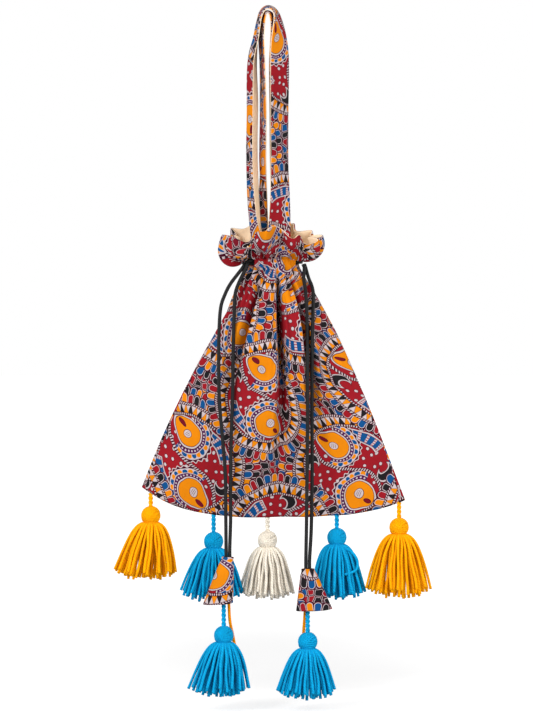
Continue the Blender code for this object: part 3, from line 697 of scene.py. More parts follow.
def cream_cotton():
    found = bpy.data.materials.get("cream_cotton")
    if found:
        return found
    made, graph, shader = new_material("cream_cotton", 0.85)
    weave = group_node(graph, "cotton_weave")
    graph.feed(weave.inputs["Cloth"], cloth_place(graph))
    colour = toned(graph, bag_settings().cream, weave.outputs["Tone"], 0.90, 1.04)
    graph.feed(shader.inputs["Base Color"], colour)
    bumped(graph, shader, weave.outputs["Height"], 0.00015, 0.6)
    return made


def yarn_material(name):
    """Wool in one of the yarn colours, its plies twisted along the piece's UV map, with painted shade in the
    grooves between them.
    """
    found = bpy.data.materials.get(name + "_wool")
    if found:
        return found
    made, graph, shader = new_material(name + "_wool", 1.0)
    wool = group_node(graph, "wool_fibre")
    graph.feed(wool.inputs["Place"], graph.add("ShaderNodeTexCoord").outputs["Object"])
    x, y = graph.split(cloth_place(graph))
    turn = graph.plus(graph.times(x, 2.0), graph.times(y, 1 / PLY_SPACING))
    ply = graph.math("ABSOLUTE", graph.math("SINE", graph.times(turn, math.pi)))
    ply = graph.math("POWER", ply, 0.6)
    colour = toned(graph, getattr(bag_settings(), "yarn_" + name), wool.outputs["Tone"], 0.90, 1.10)
    # painted shade: the yarn's colour is darkened in the grooves between its twisted plies
    depth = graph.plus(graph.times(ply, 1 - PLY_GROOVE_SHADE), PLY_GROOVE_SHADE)
    graph.feed(shader.inputs["Base Color"], graph.vector("SCALE", colour, factor=depth))
    height = graph.plus(graph.times(ply, 1.4), graph.times(wool.outputs["Height"], 0.8))
    bumped(graph, shader, height, 0.0006, 0.7)
    return made


def cord_material():
    """Black knitted cord: slanting ribs with a dull shine, their raised tops painted a lighter grey as a
    highlight.
    """
    found = bpy.data.materials.get("drawstring_cord")
    if found:
        return found
    made, graph, shader = new_material("drawstring_cord", 0.6, 0.2)
    x, y = graph.split(cloth_place(graph))
    ribs = []
    for side in (1, -1):
        slant = graph.plus(graph.times(y, 700.0), graph.times(x, side * 6.0))
        ribs.append(graph.math("ABSOLUTE", graph.math("SINE", graph.times(slant, math.pi))))
    height = graph.times(*ribs)
    # painted highlight: the raised tops of the ribs are a lighter grey than the black between them
    colour = graph.mix(height, tuple(bag_settings().cord_black), from_srgb(26, 26, 28))
    graph.feed(shader.inputs["Base Color"], colour)
    bumped(graph, shader, height, 0.0003, 0.6)
    return made


# The cloth's surface


def smoothstep(x):
    x = min(1.0, max(0.0, x))
    return x * x * (3 - 2 * x)


def neck_sweep(front):
    """Angle the front or the back panel covers round the neck, from the left seam to the right seam."""
    return RIGHT_SEAM - LEFT_SEAM if front else RIGHT_SEAM - LEFT_SEAM - TURN


def neck_direction(front, across):
    angle = LEFT_SEAM + neck_sweep(front) * across
    return Vector((math.cos(angle), math.sin(angle), 0))


def hem_point(across):
    x = HEM_LEFT + (HEM_RIGHT - HEM_LEFT) * across
    off_centre = 2 * across - 1
    rise = HEM_RISE_LEFT if off_centre < 0 else HEM_RISE_RIGHT
    z = -NECK_DROP - BODY_LENGTH + rise * abs(off_centre) ** HEM_CURVE
    return Vector((x, HEM_WAVE * math.sin(3 * math.pi * across + 0.6), z))


def hem_across(x):
    return (x - HEM_LEFT) / (HEM_RIGHT - HEM_LEFT)


def body_depth(across, down):
    """How far the belly stands out from the straight line between neck and hem."""
    return BELLY * math.sin(math.pi * down**0.75) * math.sin(math.pi * across)


def frill_step(way, climb):
    """How far out and up the frill has come, at a share of its length."""
    side, end = way.x**2, way.y**2
    beside = FRILL_LEFT if way.x < 0 else FRILL_RIGHT
    facing = FRILL_FRONT if way.y < 0 else FRILL_BACK
    first, last, turned, length = (beside[k] * side + facing[k] * end for k in range(4))
    first, last = math.radians(first), math.radians(last)
    radius = length * turned / (last - first)
    heading = first + (last - first) * min(1.0, climb / turned)
    straight = max(0.0, climb - turned) * length
    out = radius * (math.sin(heading) - math.sin(first)) + straight * math.cos(last)
    up = radius * (math.cos(first) - math.cos(heading)) + straight * math.sin(last)
    angle = math.degrees(math.atan2(way.y, way.x)) % 360
    rise = smoothstep((climb - 0.25) / 0.75)
    for middle, width, drop in RIM_DIPS:
        up -= drop * rise * math.exp(-(((angle - middle) / width) ** 2))
    up += 0.0016 * rise * math.sin(math.radians(angle) * 13 + 1)
    return out, up


def smooth_point(front, across, height):
    """The bag's surface without its folds. height runs up from the hem; the channel is at BODY_LENGTH."""
    way = neck_direction(front, across)
    neck = Vector((NECK_X + NECK_HALF_WIDTH * way.x, NECK_HALF_DEPTH * way.y, -NECK_DROP))
    above = height - BODY_LENGTH
    if abs(above) <= CHANNEL_HALF:
        return neck + Vector((0, 0, above))
    if above < 0:
        down = (-above - CHANNEL_HALF) / (BODY_LENGTH - CHANNEL_HALF)
        point = (neck - Vector((0, 0, CHANNEL_HALF))).lerp(hem_point(across), down)
        off_centre = 2 * across - 1
        bulge, power = SIDE_BULGE_LEFT if off_centre < 0 else SIDE_BULGE_RIGHT
        point.x += bulge * off_centre * math.sin(math.pi * down**power)
        room = HEM_ROOM * smoothstep(down * 4) * max(0.0, math.sin(math.pi * across)) ** 0.3
        out = body_depth(across, down) + room
        point.y += -out if front else out
        return point
    out, up = frill_step(way, (above - CHANNEL_HALF) / (FRILL - CHANNEL_HALF))
    return neck + way * out + Vector((0, 0, CHANNEL_HALF + up))


def smooth_normal(front, across, height):
    """Unit normal of the smooth surface, pointing out of the bag."""
    step_a, step_h = 0.004, 0.0015
    along = smooth_point(front, across + step_a, height) - smooth_point(front, across - step_a, height)
    up = smooth_point(front, across, height + step_h) - smooth_point(front, across, max(0.0, height - step_h))
    normal = along.cross(up) if front else up.cross(along)
    return normal.normalized()


def channel_share(height):
    """1 inside the drawstring channel, falling to 0 at its two stitch lines."""
    off = abs(height - BODY_LENGTH)
    return 1 - smoothstep((off - CHANNEL_HALF) / (STITCH_HALF - CHANNEL_HALF))


def neck_gathers(front, across, height):
    """The neck's tight gathers, which open into the frill's wide ruffles and die out down the body."""
    angle = LEFT_SEAM + neck_sweep(front) * across
    above = max(0.0, height - BODY_LENGTH - CHANNEL_HALF) / (FRILL - CHANNEL_HALF)
    below = max(0.0, BODY_LENGTH - STITCH_HALF - height)
    tight = 0.0021 * math.exp(-below / 0.040) * (1 - 0.75 * above)
    tight *= math.cos(23 * angle + 0.9 * math.sin(3 * angle)) + 0.35 * math.cos(41 * angle + 1.0)
    wide = 0.0058 * smoothstep(above * 1.15)
    wide *= math.cos(11 * angle + 0.8 * math.sin(2 * angle + 0.6)) + 0.30 * math.cos(17 * angle + 2.0 * above)
    round_neck = Vector((math.cos(angle) * 2.6, math.sin(angle) * 2.6, height * 55))
    wide += 0.0062 * noise.noise(round_neck) * smoothstep(above * 1.4)
    return tight * (1 - 0.6 * channel_share(height)) + wide


def long_pleats(front, across, height):
    """The deep pleats that run down a panel from the neck."""
    down = max(0.0, 1 - height / BODY_LENGTH)
    lift = 0.0
    for middle, depth, width, reach in FRONT_PLEATS if front else BACK_PLEATS:
        length = smoothstep((down - 0.02) / 0.16) * (1 - smoothstep((down - 0.2) / reach))
        drift = 0.012 * math.sin(7 * down + 9 * middle)
        off = (across - middle - drift) / (width * (1 + 0.9 * down))
        lift -= depth * length * math.exp(-(off**2))
        lift += 0.38 * depth * length * math.exp(-(((abs(off) - 1.9) / 1.1) ** 2))
    return lift


def wrinkles(front, across, height):
    """Soft uneven creases, stronger under the neck than at the hem."""
    down = min(1.0, max(0.0, 1 - height / BODY_LENGTH))
    side = 0.0 if front else 7.3
    place = Vector((across * 9 + side, height * 9, 1.7))
    soft = 0.0030 * noise.noise(place) * smoothstep(down * 3) * max(0.0, math.sin(math.pi * across)) ** 0.4
    fine = Vector((across * 34 + side, height * 26, 4.1))
    crease = 0.0011 * noise.noise(fine) * math.sin(math.pi * min(1.0, down * 1.3 + 0.1))
    return soft + crease


def bag_point(front, across, height):
    """A point of the printed cloth's outer face."""
    where = (front, across, height)
    away = neck_gathers(*where) + long_pleats(*where) + wrinkles(*where) + CHANNEL_LIFT * channel_share(height)
    return smooth_point(*where) + smooth_normal(*where) * away


def lining_point(front, across, height):
    """A point that the lining follows: the printed cloth's face above the neck, a calm pouch below it."""
    where = (front, across, height)
    down = max(0.0, 1 - height / BODY_LENGTH)
    ease = LINING_ROOM * smoothstep(down / 0.1) * (1 - down) * math.sin(math.pi * across)
    lift = neck_gathers(*where) * (1 - 0.5 * channel_share(height))
    lift += long_pleats(*where) - CHANNEL_LIFT * channel_share(height) - ease
    return smooth_point(*where) + smooth_normal(*where) * lift


# Meshes


def add_piece(name, bm, material, body, node, slot):
    """Makes a finished bmesh an object at the origin that rides on a body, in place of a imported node."""
    mesh = bpy.data.meshes.new(name)
    bm.to_mesh(mesh)
    bm.free()
    mesh.materials.append(material)
    mesh.shade_smooth()
    obj = bpy.data.objects.new(name, mesh)
    bpy.context.scene.collection.objects.link(obj)
    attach(obj, body)
    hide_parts(node)
    return obj


def thicken(obj, thickness, side):
    """Gives cloth its thickness: side -1 puts it behind the drawn face, and less leaves room there."""
    solidify = obj.modifiers.new("cloth", "SOLIDIFY")
    solidify.thickness = thickness
    solidify.offset = side


def run_lengths(points):
    """Distance along a line of points, at each of them."""
    run = [0.0]
    for a, b in zip(points, points[1:]):
        run.append(run[-1] + (b - a).length)
    return run


def eased(p, q, r, s, t):
    """A number or vector on the Catmull-Rom curve through p, q, r and s, at a share t from q to r."""
    return 0.5 * (2 * q + (r - p) * t + (2 * p - 5 * q + 4 * r - s) * t**2 + (3 * q - p - 3 * r + s) * t**3)


def cloth_grid(columns, rows, place, up):
    """A grid laid by place(across, along), with true cloth distances in metres in its UV map."""
    bm = bmesh.new()
    uv = bm.loops.layers.uv.new("cloth")
    verts = bmesh.ops.create_grid(bm, x_segments=columns, y_segments=rows, size=0.5)["verts"]
    spots = {v: (round((v.co.x + 0.5) * columns), round((v.co.y + 0.5) * rows)) for v in verts}
    points = [[place(i / columns, j / rows) for i in range(columns + 1)] for j in range(rows + 1)]
    lengths = []
    for row in points:
        run = run_lengths(row)
        lengths.append([value - run[columns // 2] for value in run])
    for vert, (i, j) in spots.items():
        vert.co = points[j][i]
    for face in bm.faces:
        for loop in face.loops:
            i, j = spots[loop.vert]
            loop[uv].uv = (lengths[j][i], up(j / rows))
    return bm, spots


def cloth_height(along):
    """Height up the cloth, with more rows where the neck and frill need them."""
    body = 0.62
    if along < body:
        return (BODY_LENGTH - STITCH_HALF * 1.5) * (1 - (1 - along / body) ** 1.15)
    start = BODY_LENGTH - STITCH_HALF * 1.5
    return start + (BODY_LENGTH + FRILL - start) * (along - body) / (1 - body)


def panel(name, front, material):
    """One printed panel from hem to frill, open at the seams where the drawstrings leave the channel."""
    columns, rows = 200, 180

    def place(a, b):
        return bag_point(front, a if front else 1 - a, cloth_height(b))

    bm, spots = cloth_grid(columns, rows, place, cloth_height)
    notch = NOTCH_ANGLE / abs(neck_sweep(front))
    cut = []
    for face in bm.faces:
        middle = [sum(spots[v][k] for v in face.verts) / 4 for k in (0, 1)]
        edge = min(middle[0] / columns, 1 - middle[0] / columns)
        if edge < notch and abs(cloth_height(middle[1] / rows) - BODY_LENGTH) < CHANNEL_HALF:
            cut.append(face)
    bmesh.ops.delete(bm, geom=cut, context="FACES")
    obj = add_piece(name, bm, material, "bag", name.replace("_cloth", "_panel"), "printed_cloth")
    thicken(obj, bag_settings().cloth, -1)


def lining():
    """The cream pouch inside, up through the channel to the frill's rim."""
    columns, rows = 360, 120

    def height(b):
        return max(LINING_END, cloth_height(b))

    def place(a, b):
        front = a <= 0.5
        across = 2 * a if front else 2 - 2 * a
        down = 1 - cloth_height(b) / BODY_LENGTH
        shrink = 0.5 + (across - 0.5) * (1 - 0.42 * smoothstep((down - 0.1) * 1.4))
        closed = 1.0 if across in (0.0, 1.0) else smoothstep((down - 0.30) / 0.65)
        near, other = (lining_point(face, shrink, height(b)) for face in (front, not front))
        return near.lerp(other, closed / 2)

    bm, _ = cloth_grid(columns, rows, place, cloth_height)
    bmesh.ops.remove_doubles(bm, verts=bm.verts, dist=0.00002)
    obj = add_piece("lining_cloth", bm, cream_cotton(), "bag", "lining", "cream_cloth")
    settings = bag_settings()
    thicken(obj, settings.lining, -1 - 2 * settings.cloth / settings.lining)


# Handles


def handle_frame(stations, share):
    """Place, front half and rear half of the strap at a share of the handle's length."""
    spot = share * (len(stations) - 1)
    index = min(int(spot), len(stations) - 2)
    t = spot - index
    near = [stations[max(0, min(len(stations) - 1, index + k))] for k in (-1, 0, 1, 2)]
    mixed = [eased(*values, t) for values in zip(*near)]
    return Vector(mixed[:3]), math.radians(mixed[3]), math.radians(mixed[4])


def strap_point(stations, across, share, seed):
    """A point of the strap, folded softly along its middle. across runs from -1, the front edge, to 1."""
    place, front_angle, rear_angle = handle_frame(stations, share)
    ahead = handle_frame(stations, min(1.0, share + 0.01))[0]
    ahead = ahead - handle_frame(stations, max(0.0, share - 0.01))[0]
    side = Vector((0, 1, 0))
    outward = ahead.cross(side).normalized()
    halves = []
    for angle in (front_angle, rear_angle):
        halves.append(side * math.cos(angle) + outward * math.sin(angle))
    width = bag_settings().strap_width
    soft = 0.30
    chosen = halves[0] if across < 0 else halves[1]
    point = place + chosen * abs(across) * width / 2
    ease = max(0.0, 1 - abs(across) / soft) ** 2
    point += (halves[0] + halves[1]) * 0.5 * ease * soft * width / 4
    ripple = 0.0006 * noise.noise(Vector((across * 1.6, share * 15, seed)))
    return point + outward * ripple + Vector((0, 0, 0.0011))


def strap_layer(name, stations, material, node, slot, thickness, side, seed):
    """One layer of a handle."""
    columns, rows = 14, 150
    run = run_lengths([handle_frame(stations, j / rows)[0] for j in range(rows + 1)])
    bm, _ = cloth_grid(
        columns, rows, lambda a, b: strap_point(stations, 2 * a - 1, b, seed), lambda b: run[round(b * rows)]
    )
    obj = add_piece(name, bm, material, "bag", node, slot)
    thicken(obj, thickness, side)


# Cords and yarn

YARN_SLOTS = {
    "yellow": "orange_yarn", "orange": "orange_yarn", "blue": "blue_yarn", "white": "cream_yarn",
}


def smooth_line(points, count):
    """count points along a Catmull-Rom curve through the given ones, evenly by length."""
    given = [Vector(point) for point in points]
    given = [given[0] * 2 - given[1], *given, given[-1] * 2 - given[-2]]
    fine = []
    for a, b, c, d in zip(given, given[1:], given[2:], given[3:]):
        for step in range(16):
            fine.append(eased(a, b, c, d, step / 16))
    fine.append(given[-2])
    lengths = run_lengths(fine)
    line, at = [], 0
    for step in range(count):
        target = lengths[-1] * step / (count - 1)
        while at < len(fine) - 2 and lengths[at + 1] < target:
            at += 1
        line.append(fine[at].lerp(fine[at + 1], (target - lengths[at]) / (lengths[at + 1] - lengths[at])))
    return line


def add_tube(bm, points, radius, sides, closed=False, fray=0.0):
    """A tube along points, its last end wider by the share fray."""
    uv = bm.loops.layers.uv["cloth"]
    segments = len(points) - 1
    made = bmesh.ops.create_grid(bm, x_segments=sides, y_segments=segments, size=0.5)["verts"]
    spots = {v: (round((v.co.x + 0.5) * sides), round((v.co.y + 0.5) * segments)) for v in made}
    tangents = []
    for j in range(segments + 1):
        ahead = points[1] if closed and j == segments else points[min(segments, j + 1)]
        behind = points[segments - 1] if closed and j == 0 else points[max(0, j - 1)]
        tangents.append((ahead - behind).normalized())
    first = tangents[0].orthogonal().normalized()
    rights, run = [first], run_lengths(points)
    for j in range(1, segments + 1):
        turn = tangents[j - 1].rotation_difference(tangents[j])
        rights.append((turn @ rights[-1]).normalized())
    if closed:
        rights[-1] = rights[0]
    for vert, (i, j) in spots.items():
        around = TURN * (i % sides) / sides
        size = radius * (1 + fray) if j >= segments - 1 else radius
        up = tangents[j].cross(rights[j])
        vert.co = points[j] + (rights[j] * math.cos(around) + up * math.sin(around)) * size
    for vert in made:
        for loop in vert.link_loops:
            i, j = spots[vert]
            loop[uv].uv = (i / sides, run[j])
    return made


def finish_tubes(bm):
    """Closes the seams and ends of the tubes in a bmesh and turns their faces outwards."""
    bmesh.ops.remove_doubles(bm, verts=bm.verts, dist=0.000002)
    ends = [edge for edge in bm.edges if edge.is_boundary]
    if ends:
        bmesh.ops.holes_fill(bm, edges=ends, sides=0)
    bmesh.ops.recalc_face_normals(bm, faces=bm.faces)


def new_tube_mesh():
    bm = bmesh.new()
    bm.loops.layers.uv.new("cloth")
    return bm


def beside_seam(seam, sign, beyond, drop):
    """A point on one of the two cords that leave a seam's notch, beyond the neck oval."""
    way = Vector((math.cos(seam), math.sin(seam), 0))
    place = Vector((NECK_X + NECK_HALF_WIDTH * way.x, NECK_HALF_DEPTH * way.y, -NECK_DROP))
    out = Vector((way.x / NECK_HALF_WIDTH, way.y / NECK_HALF_DEPTH, 0)).normalized()
    along = Vector((-out.y, out.x, 0)) * (sign * NOTCH_HALF_GAP)
    return place + along + out * beyond + Vector((0, 0, drop))


def channel_cord(side):
    """A drawstring's stretch inside the channel, once round the neck."""
    made = DRAWSTRINGS[side]
    seam, stack = made["seam"], made["stack"]
    ways_out = ((-0.0003, 1.0), (0.0034, 0.5), (0.0076, 0.4))
    ends = [[beside_seam(seam, sign, beyond, stack * kept) for beyond, kept in ways_out] for sign in (1, -1)]
    ring = []
    for step in range(60):
        angle = seam + RING_START + (TURN - 2 * RING_START) * step / 59
        x = NECK_X + NECK_HALF_WIDTH * math.cos(angle)
        ring.append(Vector((x, NECK_HALF_DEPTH * math.sin(angle), -NECK_DROP + stack)))
    bm = new_tube_mesh()
    add_tube(bm, smooth_line(ends[0][::-1] + ring + ends[1], STRAND_POINTS), bag_settings().cord / 2, 12)
    finish_tubes(bm)
    node = side + "_drawstring_in_channel"
    add_piece(side + "_channel_cord", bm, cord_material(), "bag", node, "black_cord")


def front_samples():
    """Points of the front cloth, to lay the strands on."""
    return [bag_point(True, a / 100, BODY_LENGTH * h / 60) for a in range(101) for h in range(61)]


def strand_line(samples, side, sign, route):
    """A strand's centreline: out of the channel, down over the cloth, then free to the cap."""
    made = DRAWSTRINGS[side]
    height = made["stack"] * 0.4
    start = ((0.0098, 0.0020), (0.0112, 0.0058))
    points = [beside_seam(made["seam"], sign, beyond, height - drop) for beyond, drop in start]
    y = points[-1].y
    cord = bag_settings().cord
    for x, z in route:
        near = [p.y for p in samples if abs(p.x - x) < 0.004 and abs(p.z - z) < 0.005]
        y = min(y, min(near, default=y) - cord / 2 - CLOTH_CLEAR)
        y = max(y, made["hang_y"])
        points.append(Vector((x, y, z)))
    apart = CAP_HALF_GAP * (-1 if points[-1].x < made["top"][0] else 1)
    top = Vector((made["top"][0] + apart, made["hang_y"], made["top"][1]))
    points += [top + Vector((0, 0, 0.010)), top, top - Vector((0, 0, 0.005))]
    return smooth_line(points, STRAND_POINTS)


def drawstring_strand(samples, name, side, sign, route):
    line = strand_line(samples, side, sign, route)
    cord = bag_settings().cord
    bm = new_tube_mesh()
    add_tube(bm, line, cord / 2, 12)
    finish_tubes(bm)
    obj = add_piece(
        name.replace("_strand", "_cord"), bm, cord_material(), side + "_drawstring", name, "black_cord"
    )
    round(run_lengths(line)[-1], 3)


def cap_ends(side):
    """The middle of a cap's top and of its foot."""
    made = DRAWSTRINGS[side]
    return [Vector((made[end][0], made["hang_y"], made[end][1])) for end in ("top", "foot")]


def cord_cap(side):
    """The printed cloth cap over a drawstring's knot: a flattened cone with a soft fold."""
    made = DRAWSTRINGS[side]
    top, foot = cap_ends(side)
    narrow, wide = made["half_widths"]
    columns, rows = 64, 40
    height = (top - foot).length

    def place(a, b):
        share = 1 - b
        angle = TURN * (0.75 - a) - math.pi
        half_width = narrow + (wide - narrow) * share
        half_depth = 0.0040 + 0.0035 * share
        dent = 1 - 0.10 * share * math.cos(3 * angle + 0.5)
        pinch = 1 - 0.10 * math.exp(-(((share - 0.06) / 0.06) ** 2))
        x = half_width * math.copysign(abs(math.cos(angle)) ** 0.85, math.cos(angle)) * pinch
        y = half_depth * math.sin(angle) * dent * pinch
        sag = Vector((0, 0, 0.0012 * share * math.cos(angle - 0.6)))
        return top.lerp(foot, share) + Vector((x, y, 0)) + sag

    bm, _ = cloth_grid(columns, rows, place, lambda b: height * b)
    bmesh.ops.remove_doubles(bm, verts=bm.verts, dist=0.00001)
    bmesh.ops.recalc_face_normals(bm, faces=bm.faces)
    cotton = printed_cotton("printed_cap_" + side, made["print"])
    obj = add_piece(
        side + "_cloth_cap", bm, cotton, side + "_drawstring", side + "_cord_cap", "printed_cloth"
    )
    thicken(obj, bag_settings().cloth, -1)
    return obj


def cord_knot(side):
    """The drawstring's overhand knot inside its cap."""
    top, foot = cap_ends(side)
    middle = top.lerp(foot, 0.0115 / (top.z - foot.z))
    points = []
    for step in range(41):
        t = TURN * step / 40
        x = math.sin(t) + 2 * math.sin(2 * t)
        y = math.cos(t) - 2 * math.cos(2 * t)
        points.append(middle + Vector((x * 0.0009, -math.sin(3 * t) * 0.0010, y * 0.0009)))
    bm = new_tube_mesh()
    add_tube(bm, points, 0.0013, 8, closed=True)
    finish_tubes(bm)
    return add_piece(
        side + "_overhand_knot", bm, cord_material(), side + "_drawstring", side + "_cord_knot", "black_cord"
    )


def yarn_line(name, points, colour, body, node, radius, yarns=2):
    """One yarn, or two twisted round each other, along points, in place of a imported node."""
    line = smooth_line(points, max(24, round(len(points) * 8)))
    bm = new_tube_mesh()
    for index in range(yarns):
        laid = []
        for point, run in zip(line, run_lengths(line)):
            turn = TURN * (run / PAIR_PITCH + index / 2)
            beside = Vector((math.cos(turn), math.sin(turn), 0)) * radius * 0.8
            laid.append(point + beside if yarns > 1 else point)
        add_tube(bm, laid, radius, 10)
    finish_tubes(bm)
    return add_piece(name, bm, yarn_material(colour), body, node, YARN_SLOTS[colour]), line


# Tassels


def wound_head(name, middle, colour, body, node, seed):
    """A ball of yarn: a core with wraps laid over it in slanting bands."""
    chance = random.Random(seed)
    radius = bag_settings().head
    wrap = 0.00095
    bm = new_tube_mesh()
    bmesh.ops.create_uvsphere(bm, u_segments=24, v_segments=16, radius=radius - 1.6 * wrap)
    bmesh.ops.translate(bm, vec=middle, verts=bm.verts)
    bands = ((38, 0.2, 1.2, 9), (-32, 1.9, 0.5, 7), (62, 2.6, 0.0, 5))
    for tilt, turn, sink, wraps in bands:
        lean = math.radians(tilt)
        axis = Vector((math.sin(lean) * math.cos(turn), math.sin(lean) * math.sin(turn), math.cos(lean)))
        across = axis.orthogonal().normalized()
        other = axis.cross(across)
        for step in range(wraps):
            off = (step - (wraps - 1) / 2) * wrap * 1.95 + chance.uniform(-0.0001, 0.0001)
            ball = radius - wrap * (0.9 + 0.5 * sink)
            if abs(off) >= ball * 0.92:
                continue
            ring = math.sqrt(ball**2 - off**2)
            points = []
            for k in range(33):
                t = TURN * k / 32
                points.append(middle + axis * off + (across * math.cos(t) + other * math.sin(t)) * ring)
            add_tube(bm, points, wrap, 6, closed=True)
    finish_tubes(bm)
    add_piece(name, bm, yarn_material(colour), body, node, YARN_SLOTS[colour])


def skirt_strand(top, azimuth, layer, foot_radius, lean, length, chance):
    """One hanging strand: out over the rounded shoulder of the skirt, then splayed down to its cut end."""
    start = 0.0024 + 0.0036 * layer
    steps = 26
    step = length / steps
    splay = math.asin(min(0.8, max(0.0, (foot_radius * layer - start - 0.12 * length * layer) / length)))
    shoulder = math.radians(82) * layer
    flat = 0.82
    drift = chance.uniform(-0.14, 0.14)
    bow = chance.uniform(-0.10, 0.12)
    kink, phase = chance.uniform(0.0002, 0.0007), chance.uniform(0, TURN)
    out, drop, points = start, 0.0, []
    for index in range(steps + 1):
        share = index / steps
        angle = azimuth + drift * share
        wave = kink * math.sin(9 * share + phase) * min(1.0, 3 * share)
        x = out * math.cos(angle) + lean * share**1.5 - wave * math.sin(angle)
        y = (out * math.sin(angle) + wave * math.cos(angle)) * (1 - (1 - flat) * min(1.0, share * 1.5))
        points.append(top + Vector((x, y, -drop)))
        heading = splay * (1.15 - 0.3 * share) + (shoulder - splay) * math.exp(-share / 0.15)
        heading += bow * share * (1 - share)
        out += step * math.sin(heading)
        drop += step * math.cos(heading)
    return points


def skirt(name, top, length, foot_radius, lean, colour, body, node, seed, stray=None):
    """The tassel's cut strands, one twisted yarn each."""
    chance = random.Random(seed)
    settings = bag_settings()
    count = settings.strands
    bm = new_tube_mesh()
    for index in range(count):
        layer = math.sqrt((index + 0.5) / count)
        azimuth = index * GOLDEN_ANGLE
        cut = length * chance.uniform(0.98, 1.06) - settings.yarn * 0.5
        line = skirt_strand(top, azimuth, layer, foot_radius - settings.yarn / 2, lean, cut, chance)
        add_tube(bm, line, settings.yarn / 2 * chance.uniform(0.92, 1.08), 9, fray=0.06)
    if stray:
        add_tube(bm, smooth_line(stray, 24), settings.yarn / 2, 9)
    finish_tubes(bm)
    add_piece(name, bm, yarn_material(colour), body, node, YARN_SLOTS[colour])


def tassel(name, hang, head_drop, skirt_length, foot_radius, lean, colour, seed, stray=None):
    """A whole tassel on its own body, under the point hang: loop, wound head and skirt."""
    head = bag_settings().head
    middle = hang - Vector((0, 0, head_drop))
    points = [hang, (hang + middle) / 2, middle + Vector((0, 0, head * 0.9))]
    yarn_line(name + "_yarn_loop", points, colour, name, name + "_loop", LOOP_RADIUS)
    wound_head(name + "_wound_head", middle, colour, name, name + "_head", seed)
    top = middle - Vector((0, 0, head * SKIRT_TOP))
    skirt(name + "_strands", top, skirt_length - head * SKIRT_TOP, foot_radius, lean, colour, name,
          name + "_skirt", seed + 100, stray)


# The pieces' operators


class POTLI_OT_stage(bpy.types.Operator):
    """Adds the white floor with a painted soft shadow, the soft lamps and the camera"""

    bl_idname = "potli.stage"
    bl_label = "Floor, lamps and camera"

    def execute(self, context):
        scene = context.scene
        scene.view_settings.view_transform = "Standard"
        self.add_camera(scene)
        self.add_floor(scene)
        self.add_world(scene)
        self.add_lamp(scene, "key_lamp", (-1.9, -2.4, 1.1), 1.2, 72)
        self.add_lamp(scene, "fill_lamp", (1.9, -2.2, 0.2), 1.8, 44)
        return {"FINISHED"}

    def add_camera(self, scene):
        """A long lens straight in front: one picture element is one millimetre at the bag."""
        away, view_height, rise = 4.0, 0.711, 0.05
        data = bpy.data.cameras.new("camera")
        data.sensor_fit = "VERTICAL"
        data.sensor_height = 24
        data.lens = 24 * away / view_height
        data.clip_end = 50
        camera = bpy.data.objects.new("camera", data)
        target = Vector((-0.002, 0, -0.3415))
        camera.location = target + Vector((0, -away * math.cos(rise), away * math.sin(rise)))
        camera.rotation_euler = (target - camera.location).to_track_quat("-Z", "Y").to_euler()
        scene.collection.objects.link(camera)
        scene.camera = camera

    def add_floor(self, scene):
        bm = bmesh.new()
        bmesh.ops.create_grid(bm, x_segments=1, y_segments=1, size=6)
        bmesh.ops.translate(bm, vec=(0, 0, PACKED_BOX[0][2] - 0.012), verts=bm.verts)
        mesh = bpy.data.meshes.new("floor")
        bm.to_mesh(mesh)
        bm.free()
        floor = bpy.data.objects.new("floor", mesh)
        made = bpy.data.materials.new("white_floor")
        made.use_nodes = True
        graph = Graph(made.node_tree)
        shader = made.node_tree.nodes["Principled BSDF"]
        shader.inputs["Base Color"].default_value = (0.42, 0.42, 0.42, 1)
        shader.inputs["Roughness"].default_value = 1
        rays = graph.add("ShaderNodeLightPath")
        seen = graph.math("MAXIMUM", rays.outputs["Is Camera Ray"], rays.outputs["Is Glossy Ray"])
        # painted shadow: the floor's seen emission is lowest in an oval behind and under the bag and rises to
        # white further off, so the floor looks grey there, as under a soft shadow
        place = graph.vector("SUBTRACT", graph.add("ShaderNodeTexCoord").outputs["Object"], (0.0, 0.40, 0.0))
        away = graph.vector("LENGTH", graph.vector("MULTIPLY", place, (1.9, 1.0, 0.0)))
        painted_floor_shadow = graph.add("ShaderNodeMapRange", interpolation_type="SMOOTHSTEP")
        graph.feed(painted_floor_shadow.inputs["Value"], away)
        for name, value in (("From Min", 0.05), ("From Max", 0.75), ("To Min", 0.44), ("To Max", 0.75)):
            painted_floor_shadow.inputs[name].default_value = value
        shader.inputs["Emission Color"].default_value = (1, 1, 1, 1)
        graph.feed(shader.inputs["Emission Strength"], graph.times(seen, painted_floor_shadow.outputs["Result"]))
        mesh.materials.append(made)
        scene.collection.objects.link(floor)

    def add_world(self, scene):
        world = bpy.data.worlds.new("studio")
        world.use_nodes = True
        graph = Graph(world.node_tree)
        rays = graph.add("ShaderNodeLightPath")
        seen = graph.math("MAXIMUM", rays.outputs["Is Camera Ray"], rays.outputs["Is Glossy Ray"])
        seen = graph.math("MAXIMUM", seen, rays.outputs["Is Transmission Ray"])
        strength = graph.plus(graph.times(seen, 0.16), 0.84)
        background = world.node_tree.nodes["Background"]
        background.inputs["Color"].default_value = (1, 1, 1, 1)
        graph.feed(background.inputs["Strength"], strength)
        scene.world = world

    def add_lamp(self, scene, name, place, size, power):
        data = bpy.data.lights.new(name, "AREA")
        data.size = size
        data.energy = power
        lamp = bpy.data.objects.new(name, data)
        lamp.location = place
        lamp.rotation_euler = (Vector((0, 0, -0.34)) - lamp.location).to_track_quat("-Z", "Y").to_euler()
        scene.collection.objects.link(lamp)


